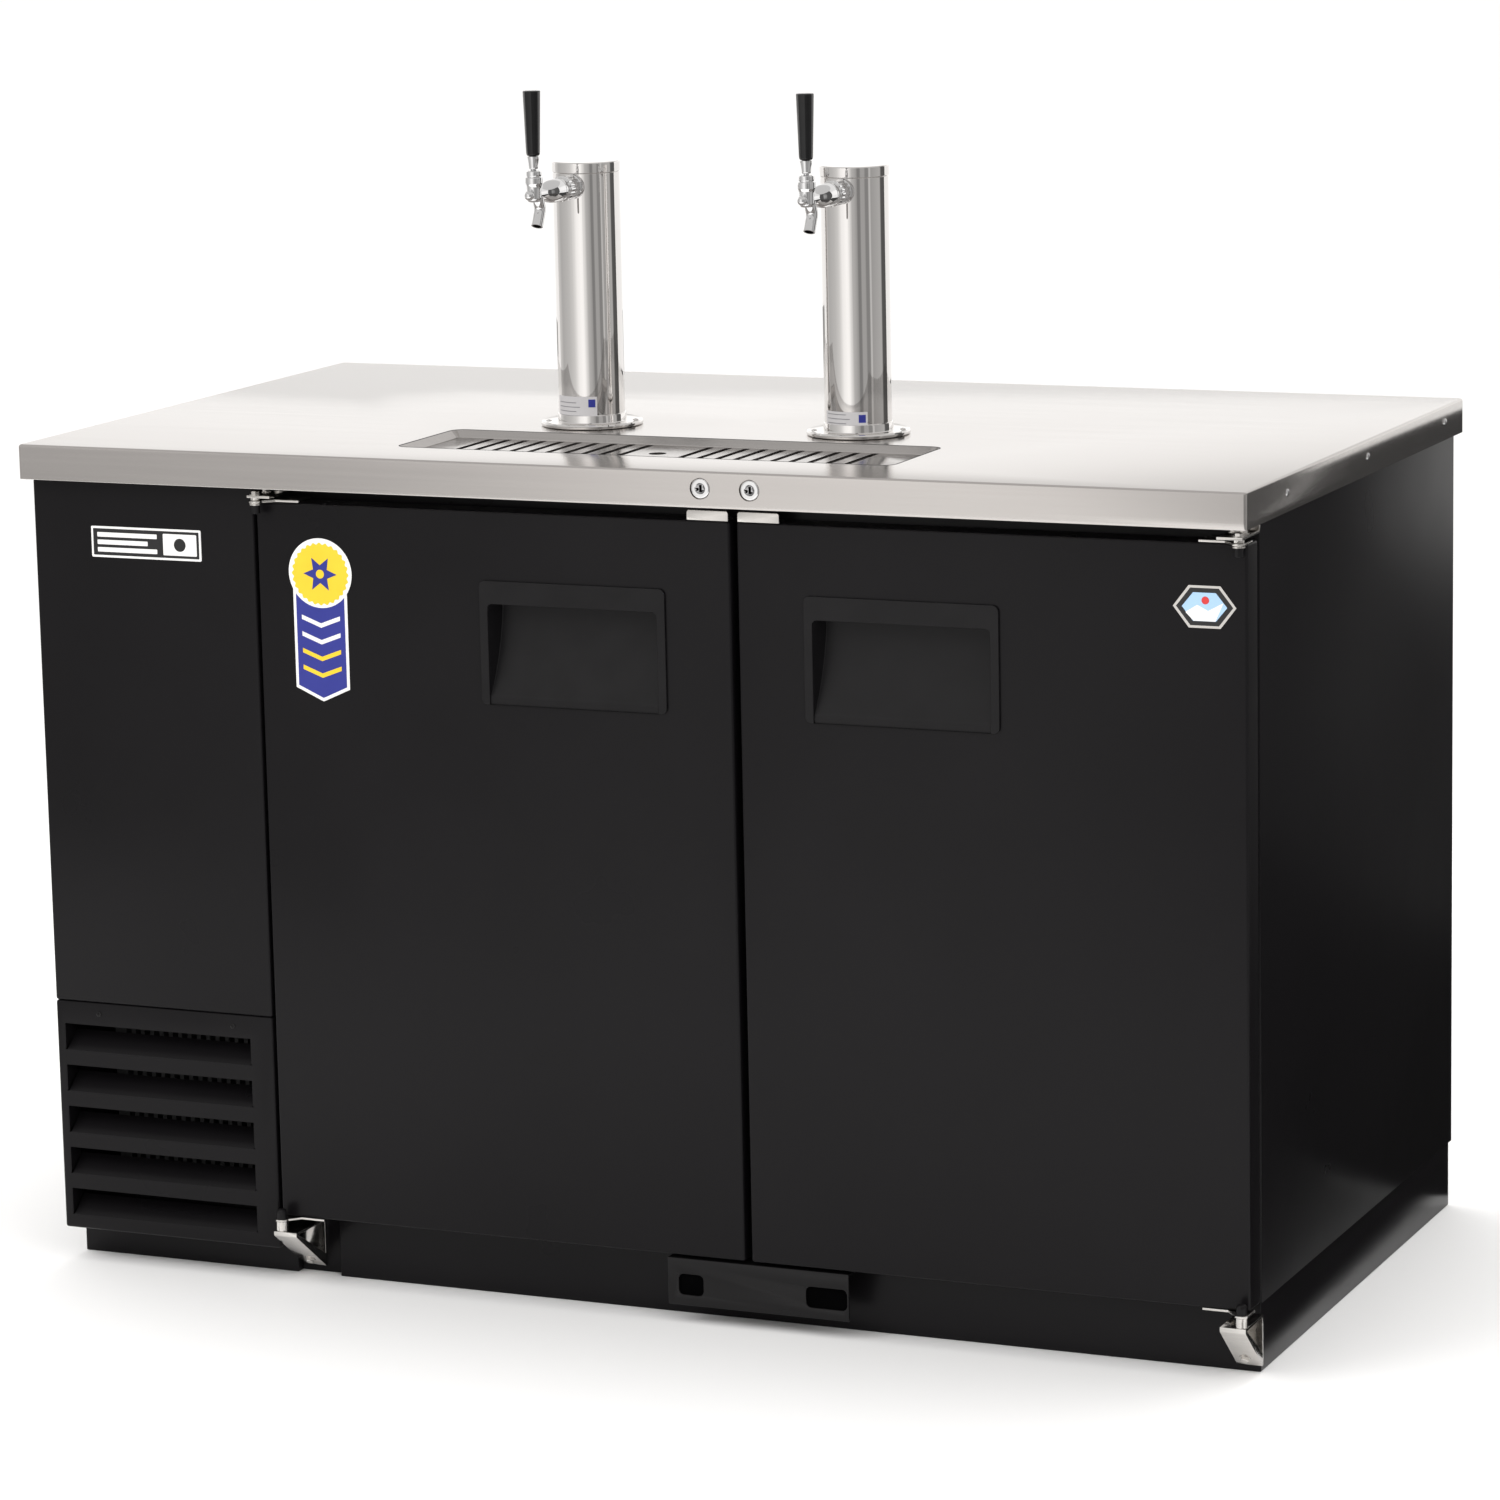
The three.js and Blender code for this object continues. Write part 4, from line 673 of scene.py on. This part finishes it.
def build_faucet(hand, sign):
    """The shank out of the column, the ribbed nut, the faucet, its lever and the tap handle."""
    x, front = sign * TOWER_X, TOWER_Y - TAP_REACH
    axis = (x, TOWER_Y, TOP + TAP_RISE)
    upright = (x, front, TOP)

    shank = turned("y", axis, [(0, -43.4), (13.2, -43.4), (14.2, -42.6), (14.5, -41.4), (14.5, -20),
                               (0, -20)])
    saddle = turned("z", (x, TOWER_Y, TOP), rod(TUBE + 0.3, 240, 300), 128)
    made = carve(shank, [saddle])
    lathe(made, "y", axis, [(4, -6), (11, -6), (11, -58), (4, -58)], 40, ring=True)
    piece(hand + "_shank_saddle", made, chrome, "cabinet", hand + "_shank", angle=30)

    nut = fluted("y", axis, 14.5, 0.9, 16, [(-43.7, 1.6), (-44.6, 0.5), (-46, 0.0), (-69.2, 0.0), (-71, 0.5),
                                            (-72, 1.6)])
    bore = turned("y", axis, [(0, -80), (8.3, -80), (8.3, -62), (11.3, -62), (11.3, -30), (0, -30)], 40)
    piece(hand + "_ribbed_nut", carve(nut, [bore]), chrome, "cabinet", hand + "_coupling_nut", angle=40)

    build_spout(hand, x, front)
    tail = [(0, -58.3), (10.9, -58.3), (10.9, -61.7), (8, -61.7), (8, -72.4)]
    barrel = [(12.6, -72.4), (13.3, -73.1), (13.5, -74.2), (13.5, -79.5), (13.1, -80), (13.1, -81),
              (13.5, -81.5), (13.4, -90), (12.9, -97), (12.0, -102), (10.7, -106.5), (9.2, -110.5),
              (8.1, -114), (7.4, -118), (7.0, -124), (7.0, -TAP_REACH), (0, -TAP_REACH)]
    body = turned("y", axis, tail + barrel)
    bowl = [(0, 267.6), (4.2, 267.6), (6.4, 268.2), (7.6, 269.6), (8.2, 272), (8.3, 276), (8.2, 281),
            (8.4, 284), (9.0, 286.6), (9.6, 288.0), (9.9, 289.5), (9.9, 294.9), (9.6, 295.4), (9.0, 295.6)]
    bonnet = [(7.8, 295.6), (7.8, 296.7), (8.3, 296.7), (8.5, 297.0), (8.5, 301.5), (8.2, 302.2),
              (7.5, 302.4), (6.1, 302.4), (6.1, 301.0), (0, 297)]
    lathe(body, "z", upright, bowl + bonnet)
    nose, neck = 5.6, 4.2
    ball(body, (x, front - 12.5, TOP + TAP_RISE), nose, 40)
    lathe(body, "y", axis, rod(neck, -TAP_REACH - 9, -TAP_REACH), 32)
    piece(hand + "_faucet_cast", body, chrome, "cabinet", hand + "_faucet_body", angle=38)

    arm = bmesh.new()
    ball(arm, (x, front, TOP + PIVOT_RISE), 5.5, 36)
    lathe(arm, "z", upright, rod(1.8, TAP_RISE, PIVOT_RISE), 20)
    ball(arm, (x, front, TOP + TAP_RISE), 2.5, 20)
    lathe(arm, "z", upright, [
        (0, 299), (3, 299), (3, 304.7), (4.5, 304.7), (5.0, 305.3), (5.15, 307), (5.6, 311), (6.4, 316),
        (6.9, 318.0), (6.7, 318.8), (6.0, 319), (0, 319),
    ], 48)
    piece(hand + "_tap_stem", arm, chrome, hand + "_tap", hand + "_tap_lever")
    build_grip(hand, x, front)
    paint(hand + "_beer_line", hose)
    paint(hand + "_valve_shaft", stainless)


def build_spout(hand, x, front):
    """The bent outlet: its open mouth, the room for the lever, and a near-black tube inside the mouth as
    painted shade.
    """
    radius, mouth_radius = 6.6, 5.2
    bend = curve_through([(8, 0), (10.6, 8.5), (13.6, 17), (10, 26), (5, 36)], 7)
    path = [Vector((x, front + back, TOP + TAP_RISE - drop)) for back, drop in bend]
    spout = bmesh.new()
    tube(spout, path, radius, 40)
    end = path[-1]
    step = end - path[-2]
    mouth = bmesh.new()
    tube(mouth, [end - step * 0.9, end + step * 1.5], mouth_radius, 32)
    lever_room = block(about(x, 3.6), (front - 1, front + 12.4), (TOP + 271.5, TOP + 290))
    piece(hand + "_bent_spout", carve(spout, [mouth, lever_room]), chrome, "cabinet", angle=38)
    # Painted shade: a near-black tube just inside the mouth, so the bore reads dark
    bore_shade = bmesh.new()
    tube(bore_shade, [end - step * 0.88, end - step * 0.45], mouth_radius - 0.1, 32)
    piece(hand + "_spout_bore_painted_shade", bore_shade, painted_shade_black, "cabinet")


def build_grip(hand, x, front):
    """The tap handle, an eight-sided taper; stations are (half its width, height)."""
    sides, edge = 8, 0.8
    stations = [(4.9, 319.3), (5.9, 319.6), (6.7, 320.4), (7.15, 321.8), (7.35, 323.6), (7.45, 327),
                (9.2, 389.6), (9.25, 391.0), (8.9, 391.7), (8.3, 392)]
    rings = []
    for half, up in stations:
        reach = half / math.cos(math.pi / sides)
        turns = [(i + 0.5) * 2 * math.pi / sides for i in range(sides)]
        rings.append([Vector((x + reach * math.cos(t), front + reach * math.sin(t), TOP + up))
                      for t in turns])
    grip = lofted(*rings)
    tidy(grip)
    bevel(grip, edge, 3, where=lambda e: abs(e.verts[0].co.z - e.verts[1].co.z) > 0.3, angle=25)
    piece(hand + "_tap_grip", grip, tap_black, hand + "_tap", hand + "_tap_handle", angle=30)


# Compressor bay

def build_compressor():
    """A welded can on a plate with four rubber feet, in heights above the bay's floor."""
    x, y, floor = (BAY_RIGHT - SIDE) / 2, REAR - 180.0, 80.8
    can = [(0, 22), (74, 22), (80, 26), (82, 34), (82, 84), (82, 86), (82, 137), (79, 150), (73, 161),
           (63, 171), (50, 175), (0, 176)]
    foot = [(0, 0), (9.5, 0), (11, 2), (9.5, 8), (11, 14), (9.5, 20), (11, 24), (0, 26)]
    made = turned("z", (x, y, floor), can)
    box(made, about(x, 105), about(y, 85), (floor + 22, floor + 26))
    for sx in (-1, 1):
        for sy in (-1, 1):
            lathe(made, "z", (x + sx * 94, y + sy * 74, floor), foot, 24)
    piece("compressor_can", made, black_gloss, "cabinet", "compressor")
    # The mains inlet, in places along y from the face of the rear cover
    gland = turned("y", (x, 392.3, 620), [
        (4, -7), (10.5, -7), (10.5, 0), (14.4, 0), (15, 0.6), (15, 2.4), (14.2, 3), (11.6, 3.4),
        (10.5, 7), (4, 7)], 48, ring=True)
    piece("mains_gland", gland, rubber, "cabinet", "mains_inlet")


# Screws, plates and printed labels

def screw(name, centre, axis, sign, radius, height, surface):
    """A round-headed screw with a cross in its head; it looks along the axis, to the given side."""
    sunk, skirt, bar_half, bar_reach = 0.6, 0.25, 0.11, 0.55
    profile = [(radius, -sunk), (radius, height * skirt)]
    profile += [(radius * math.cos(t), height * (skirt + (1 - skirt) * math.sin(t)))
                for t in (math.pi * k / 16 for k in range(1, 8))]
    head = turned(axis, centre, [(q, sign * along) for q, along in profile], 32)
    a, b, c = AXES[axis]
    bars = []
    for long_way in (b, a):
        spans = [about(place, radius * (bar_reach if k == long_way else bar_half))
                 for k, place in enumerate(centre)]
        spans[c] = tuple(sorted((centre[c] + sign * height * 0.45, centre[c] + sign * height * 2)))
        bars.append(block(*spans))
    piece(name, carve(head, bars), surface, "cabinet")


def hexagon_bolt(name, centre, facing, radius, height):
    """A hexagon head on a washer, standing on a face that looks along the given direction."""
    head = turned("z", (0, 0, 0), rod(radius * 1.4, -0.6, 0.8), 36)
    lathe(head, "z", (0, 0, 0), [(0, 0.2), (radius, 0.2), (radius, height * 0.82), (radius * 0.86, height),
                                 (0, height)], 6)
    turn = Vector(facing).to_track_quat("Z", "Y").to_matrix().to_4x4()
    head.transform(Matrix.Translation(Vector(centre)) @ turn)
    piece(name, head, nickel, "cabinet", angle=20)


def build_hinge_details(hand, sign):
    """What turns on the hinge pins, and the bolts of the brackets."""
    x, y, inward = MEETING + sign * HINGE_REACH, HINGE_Y, -sign
    lower = [(0, 78.7), (6.0, 78.7), (6.0, 86), (5.6, 88), (4.4, 89.6), (2.4, 90.4), (0, 90.6)]
    upper = [(0, 896), (4.4, 896), (5.0, 896.8), (5.0, 905.6), (0, 905.6)]
    washer = [(0, 905.4), (6.6, 905.4), (7.4, 906), (7.4, 907.6), (6.6, 908.3), (0, 908.3)]
    for name, profile, count, surface in (("lower_bush", lower, 36, black_plastic),
                                          ("upper_bush", upper, 36, black_plastic),
                                          ("upper_washer", washer, 40, nickel)):
        piece(f"{hand}_{name}", turned("z", (x, y, 0), profile, count), surface, hand + "_door")
    flange_top, up = 917.5, (0, 0, 1)
    hexagon_bolt(hand + "_upper_bolt_a", (x + inward * 2, -369, flange_top), up, 4.6, 4.2)
    hexagon_bolt(hand + "_upper_bolt_b", (x + inward * 15, -362, flange_top), up, 4.6, 4.2)
    hexagon_bolt(hand + "_upper_nut", (x, y, flange_top), up, 5.0, 4.0)
    # The strut of the lower bracket falls from its toe to its heel
    toe, toe_height, heel = -399.0, 60.0, -329.3 if sign < 0 else -341.3
    run, drop, share = heel - toe, 52.0, 0.80
    place = (x + inward * 9, toe + share * run, toe_height - share * drop)
    hexagon_bolt(hand + "_strut_bolt", place, (0, -drop, -run), 4.8, 4.0)


def front_shapes(body, *rows):
    """Thin flat shapes laid over one another on a front face.

    A row is (name, outline in (x, z), near and far from the doors' face, ink)."""
    for name, outline, near, far, ink in rows:
        bm = bmesh.new()
        prism(bm, "y", [(z, x) for x, z in outline], (DOOR_FRONT + near, DOOR_FRONT + far))
        piece(name, bm, ink, body, angle=30)


def disc(x, z, radius, count=48, waves=0, depth=0.0):
    return [(x + (radius + depth * math.cos(waves * t)) * math.cos(t),
             z + (radius + depth * math.cos(waves * t)) * math.sin(t))
            for t in (2 * math.pi * k / count for k in range(count))]


def hexagon(x, z, across, up):
    return [(x + across * math.cos(math.pi * k / 3), z + up * math.sin(math.pi * k / 3)) for k in range(6)]


def panel(x, z, radius=1.0):
    return rounded(x, z, radius, 4)


def build_name_plate():
    left, rights, highest, pitch, height = -645, (-568, -580, -568), 860.0, 8.6, 5.2
    front_shapes("cabinet",
                 ("name_plate", panel((-653, -511.5), (836.5, 872), 1.5), -1.0, 0.2, ink_white),
                 ("name_plate_field", panel((-650.5, -514), (839, 869.5)), -1.2, -0.9, ink_black),
                 ("name_plate_block", panel((-560, -517), (842, 866.5)), -1.4, -1.1, ink_white),
                 ("name_plate_block_mark", disc(-538.5, 854.2, 7.5), -1.6, -1.3, ink_black))
    for k, right in enumerate(rights):
        low = highest - pitch * k
        bar = panel((left, right), (low, low + height), 0.8)
        front_shapes("cabinet", (f"name_plate_bar_{k}", bar, -1.4, -1.1, ink_white))


def ribbon(left, middle, right, corner, tip):
    top = 835
    return [(left, top), (left, corner), (middle, tip), (right, corner), (right, top)]


def build_seal():
    """A round seal with a star over a ribbon with four chevrons."""
    x, z, middle = -361, 829, -362
    star = []
    for k in range(12):
        reach = 21.0 if k % 2 else 10.0
        star.append((x + reach * math.sin(math.pi * k / 6), z + reach * math.cos(math.pi * k / 6)))
    front_shapes("left_door",
                 ("seal_ribbon_edge", ribbon(-396, middle, -328.5, 699, 684), -0.35, 0.1, ink_white),
                 ("seal_ribbon", ribbon(-392.6, middle, -332, 701.5, 688), -0.55, -0.3, ink_blue),
                 ("seal_edge", disc(x, z + 1, 39.5, 72), -0.75, -0.5, ink_white),
                 ("seal_disc", disc(x, z, 34.5, 336, 28, 1.1), -0.95, -0.7, ink_yellow),
                 ("seal_star", star, -1.15, -0.9, ink_blue),
                 ("seal_star_eye", disc(x, z, 5.0), -1.35, -1.1, ink_yellow))
    highest, pitch, half, dip, height = 782.0, 19.0, 24, 9, 5
    left, right = about(middle, half)
    for k in range(4):
        high = highest - pitch * k
        chevron = [(left, high), (middle, high - dip), (right, high), (right, high - height),
                   (middle, high - dip - height), (left, high - height)]
        ink = (ink_white, ink_yellow)[k // 2]
        front_shapes("left_door", (f"seal_chevron_{k}", chevron, -0.75, -0.5, ink))


def build_emblem():
    """A six-sided emblem with a wave and a drop."""
    x, z = 681.0, 840.0
    wave = [(x - 21, z - 6), (x - 8, z + 2), (x + 4, z - 4), (x + 21, z + 5), (x + 12, z - 15),
            (x - 12, z - 15)]
    front_shapes("right_door",
                 ("emblem_rim", hexagon(x, z, 35, 26), -0.9, 0.2, nickel),
                 ("emblem_ground", hexagon(x, z, 31.5, 23), -1.1, -0.8, ink_black),
                 ("emblem_field", hexagon(x, z, 25, 17.5), -1.3, -1.0, ink_sky),
                 ("emblem_wave", wave, -1.5, -1.2, ink_white),
                 ("emblem_drop", disc(x + 1, z + 7, 4.2), -1.5, -1.2, ink_red))


def wrapped(name, x, first, last, bottom, top, radius, surface):
    """A thin label round a column; azimuths in degrees from the front, to the right."""
    thickness, steps = 0.25, max(2, round((last - first) / 3))
    outer, inner = (arc((x, TOWER_Y), reach, first - 90, last - 90, steps)
                    for reach in (radius, radius - thickness))
    bm = bmesh.new()
    prism(bm, "z", outer + inner[::-1], (bottom, top))
    piece(name, bm, surface, "cabinet", angle=40)


def build_tower_labels():
    """A pale film with four lines and a square mark; the two labels differ a little in place."""
    places = {"left": (-50, 34, 975, 1001), "right": (-46, 38, 972, 994)}
    film, ink_radius, line_pitch, line_height = TUBE + 0.2, TUBE + 0.35, 5.0, 0.9
    for hand, sign in HANDS:
        x = sign * TOWER_X
        start, end, low, high = places[hand]
        name = hand + "_tower_label"
        wrapped(name, x, start, end, low, high, film, label_film)
        for k in range(4):
            z = low + 3.5 + line_pitch * k
            last = end - 30 - 7 * (k % 2)
            wrapped(f"{name}_line_{k}", x, start + 6, last, z, z + line_height, ink_radius, ink_grey)
        wrapped(name + "_mark", x, end - 15, end - 3, high - 12, high - 3, ink_radius, ink_blue)


def build_screws():
    panel_places, worktop_places = ((-671, 299.0), (-495, 298.5)), (-263, 25, 325)
    flange_circle, flange_top, first_turn = 50, TOP + 4.4, 20
    for k, (x, z) in enumerate(panel_places):
        screw(f"panel_screw_{k}", (x, DOOR_FRONT, z), "y", -1, 3.4, 1.4, black_gloss)
    for k, y in enumerate(worktop_places):
        screw(f"worktop_screw_{k}", (WORKTOP_X[1] - 0.2, y, LOCK_Z), "x", 1, 4.4, 2.0, chrome)
    for hand, sign in HANDS:
        for k in range(4):
            t = math.radians(first_turn + 90 * k)
            place = (sign * TOWER_X + flange_circle * math.sin(t), TOWER_Y - flange_circle * math.cos(t),
                     flange_top)
            screw(f"{hand}_flange_screw_{k}", place, "z", 1, 3.4, 1.3, polished)


# Stage, light and camera, in metres

def stage_material(name, color, rough):
    made, tree, shader = new_material(name)
    noise = tree.nodes.new("ShaderNodeTexNoise")
    put(noise, Scale=0.4)
    ramp = color_ramp(tree, [(0, tint(color, 0.995)), (1, tint(color, 1.005))])
    tree.links.new(noise.outputs["Fac"], ramp.inputs["Fac"])
    tree.links.new(ramp.outputs["Color"], shader.inputs["Base Color"])
    put(shader, Roughness=rough, Specular_IOR_Level=0.1)
    return made


def build_stage():
    """A round pale floor, its face just under the plinth."""
    radius, face, underside, middle = 60.0, -0.0004, -0.005, (0, 0, 0)
    floor = lofted(circle("z", middle, radius, face, 96), circle("z", middle, radius, underside, 96))
    mesh = bpy.data.meshes.new("floor")
    floor.to_mesh(mesh)
    floor.free()
    mesh.materials.append(stage_material("floor_white", (0.93, 0.93, 0.93), 0.85))
    made = linked("floor", mesh)


def by_azimuth(tree, vector, bands):
    """A brightness that follows the azimuth, in degrees from the front to the right."""
    add, join = tree.nodes.new, tree.links.new
    split = add("ShaderNodeSeparateXYZ")
    join(vector, split.inputs["Vector"])
    back_to_front = add("ShaderNodeMath")
    back_to_front.operation = "MULTIPLY"
    back_to_front.inputs[1].default_value = -1.0
    join(split.outputs["Y"], back_to_front.inputs[0])
    turn = add("ShaderNodeMath")
    turn.operation = "ARCTAN2"
    join(split.outputs["X"], turn.inputs[0])
    join(back_to_front.outputs["Value"], turn.inputs[1])
    spans = add("ShaderNodeMapRange")
    put(spans, From_Min=-math.pi, From_Max=math.pi)
    join(turn.outputs["Value"], spans.inputs["Value"])
    ramp = color_ramp(tree, [((azimuth + 180) / 360, (level, level * 0.985, level * 0.97, 1))
                             for azimuth, level in bands])
    join(spans.outputs["Result"], ramp.inputs["Fac"])
    return split, ramp


def even(level):
    """The same brightness all round."""
    return [(-180, level), (180, level)]


def glow(name, bands):
    """The dim surface of a panel that stands in the reflections."""
    made, tree, shader = new_material(name)
    coords = tree.nodes.new("ShaderNodeTexCoord")
    _, ramp = by_azimuth(tree, coords.outputs["Object"], bands)
    tree.links.new(ramp.outputs["Color"], shader.inputs["Emission Color"])
    put(shader, Emission_Strength=1.0, Base_Color=(0, 0, 0, 1), Specular_IOR_Level=0.0)
    return made


def show_to_gloss(name, mesh, bands):
    """Puts up a panel that only reflections see."""
    mesh.materials.append(glow(name, bands))
    made = linked(name, mesh)
    made.visible_camera = False
    made.visible_diffuse = False
    made.visible_transmission = False
    made.visible_shadow = False


def studio_flag(name, first, last, radius, bottom, top, bands):
    """A curved upright panel; azimuths are in degrees from the front, to the right."""
    steps = max(2, round(abs(last - first) / 4))
    line = arc((0, 0), radius, first - 90, last - 90, steps)
    corners = [(x, y, z) for z in (bottom, top) for x, y in line]
    faces = [(i, i + 1, i + steps + 2, i + steps + 1) for i in range(steps)]
    mesh = bpy.data.meshes.new(name)
    mesh.from_pydata(corners, [], faces)
    show_to_gloss(name, mesh, bands)


def lying_flag(name, outline, z, bands):
    mesh = bpy.data.meshes.new(name)
    mesh.from_pydata([(x, y, z) for x, y in outline], [], [tuple(range(len(outline)))])
    show_to_gloss(name, mesh, bands)


def build_flags():
    """Panels that give the steel its streaks: bands are (azimuth, brightness)."""
    near_floor, ring_radius, ceiling, reach = 0.002, 2.3, 3.0, 3.0
    dark_patch = [(0.74, -0.30), (reach, -0.30), (reach, 3.2), (0.55, 3.2), (0.55, 0.41), (0.74, 0.41)]
    square = [(-reach, -reach), (reach, -reach), (reach, reach), (-reach, reach)]
    streaks = [
        (-180, 0.68), (-94, 0.70), (-80, 0.50), (-66, 0.55), (-51, 0.60), (-34, 0.73), (-26, 0.90),
        (-19, 1.08), (-4.5, 1.20), (2, 1.15), (6, 0.95), (13, 0.72), (16, 0.55), (23.6, 0.48), (31, 0.38),
        (34, 0.24), (41, 0.25), (44, 0.42), (55, 0.42), (59, 0.27), (68, 0.28), (71, 0.62), (74, 0.62),
        (77, 0.40), (90, 0.44), (112, 0.50), (117, 0.11), (138, 0.10)]
    lying_flag("flag_floor", dark_patch, near_floor, even(0.015))
    lying_flag("flag_ceiling", square, ceiling, even(0.66))
    studio_flag("flag_ring", -100, 138, ring_radius, near_floor, 2.4, streaks)
    studio_flag("flag_rear_right", 139, 178, ring_radius, near_floor, 0.74, even(0.06))
    studio_flag("flag_rear_left", -166, -118, 1.5, 0.30, 0.93, even(0.34))


def softbox(name, place, target, width, height, power):
    """A rectangular lamp that looks at its target."""
    light = bpy.data.lights.new(name, "AREA")
    light.shape = "RECTANGLE"
    light.size, light.size_y = width, height
    light.energy = power
    made = linked(name, light)
    made.location = place
    made.rotation_euler = (Vector(target) - Vector(place)).to_track_quat("-Z", "Y").to_euler()


def build_light():
    """A bright room whose walls and ceiling differ a little, and three soft lamps."""
    walls = [(-180, 0.98), (-165, 0.96), (-156, 0.98), (-146, 0.96), (-110, 0.95), (-60, 1.0), (0, 1.1),
             (70, 0.85), (120, 0.90), (165, 0.98), (180, 0.98)]
    heights = [(0.0, 1.24), (0.20, 1.24), (0.34, 0.95), (0.50, 0.95), (0.80, 1.28), (1.0, 1.30)]
    world = bpy.data.worlds.new("studio")
    world.use_nodes = True
    tree = world.node_tree
    back = tree.nodes["Background"]
    coords = tree.nodes.new("ShaderNodeTexCoord")
    split, ramp = by_azimuth(tree, coords.outputs["Generated"], walls)
    tree.links.new(ramp.outputs["Color"], back.inputs["Color"])
    lift = color_ramp(tree, [(place, (level, level, level, 1)) for place, level in heights])
    lift.color_ramp.interpolation = "EASE"
    tree.links.new(split.outputs["Z"], lift.inputs["Fac"])
    tree.links.new(lift.outputs["Color"], back.inputs["Strength"])
    scene.world = world
    softbox("key", (-2.6, -3.4, 3.4), (0, 0, 0.5), 2.6, 2.0, 60)
    softbox("fill", (3.4, -2.6, 2.2), (0, 0, 0.6), 2.2, 2.2, 30)
    softbox("top", (0.2, 0.6, 3.6), (0, 0, 0.9), 3.0, 2.0, 50)


def build_camera():
    """The photo's viewing angle; it aims a little above and beside the middle of the cabinet."""
    azimuth, elevation, roll = (math.radians(d) for d in (23.561, 10.787, -1.186))
    distance, lens, aside, above = 6.487012, 133.401, -6.133, 95.248
    back = Vector((math.sin(azimuth) * math.cos(elevation), -math.cos(azimuth) * math.cos(elevation),
                   math.sin(elevation)))
    right = Vector((math.cos(azimuth), math.sin(azimuth), 0))
    up = back.cross(right)
    level = math.cos(roll) * right + math.sin(roll) * up
    rise = -math.sin(roll) * right + math.cos(roll) * up
    data = bpy.data.cameras.new("photo_view")
    data.sensor_width = 36.0
    data.lens = lens
    data.clip_end = 200.0
    made = linked("photo_view", data)
    centre = Vector((0, 0, TOP / 2 * MM)) + (aside * right + above * up) * MM
    place = centre + back * distance
    facing = Matrix((level, rise, back)).transposed().to_4x4()
    made.matrix_world = Matrix.Translation(place) @ facing
    scene.camera = made


build_worktop()
build_tray()
build_cabinet()
build_louvres()
build_compressor()
for hand, sign in HANDS:
    build_door(hand, sign)
    build_hinge_details(hand, sign)
    build_lock(hand, sign)
    build_tower(hand, sign)
    build_faucet(hand, sign)
build_name_plate()
build_seal()
build_emblem()
build_tower_labels()
build_screws()
build_stage()
build_flags()
build_light()
build_camera()

scene.view_settings.view_transform = "Standard"
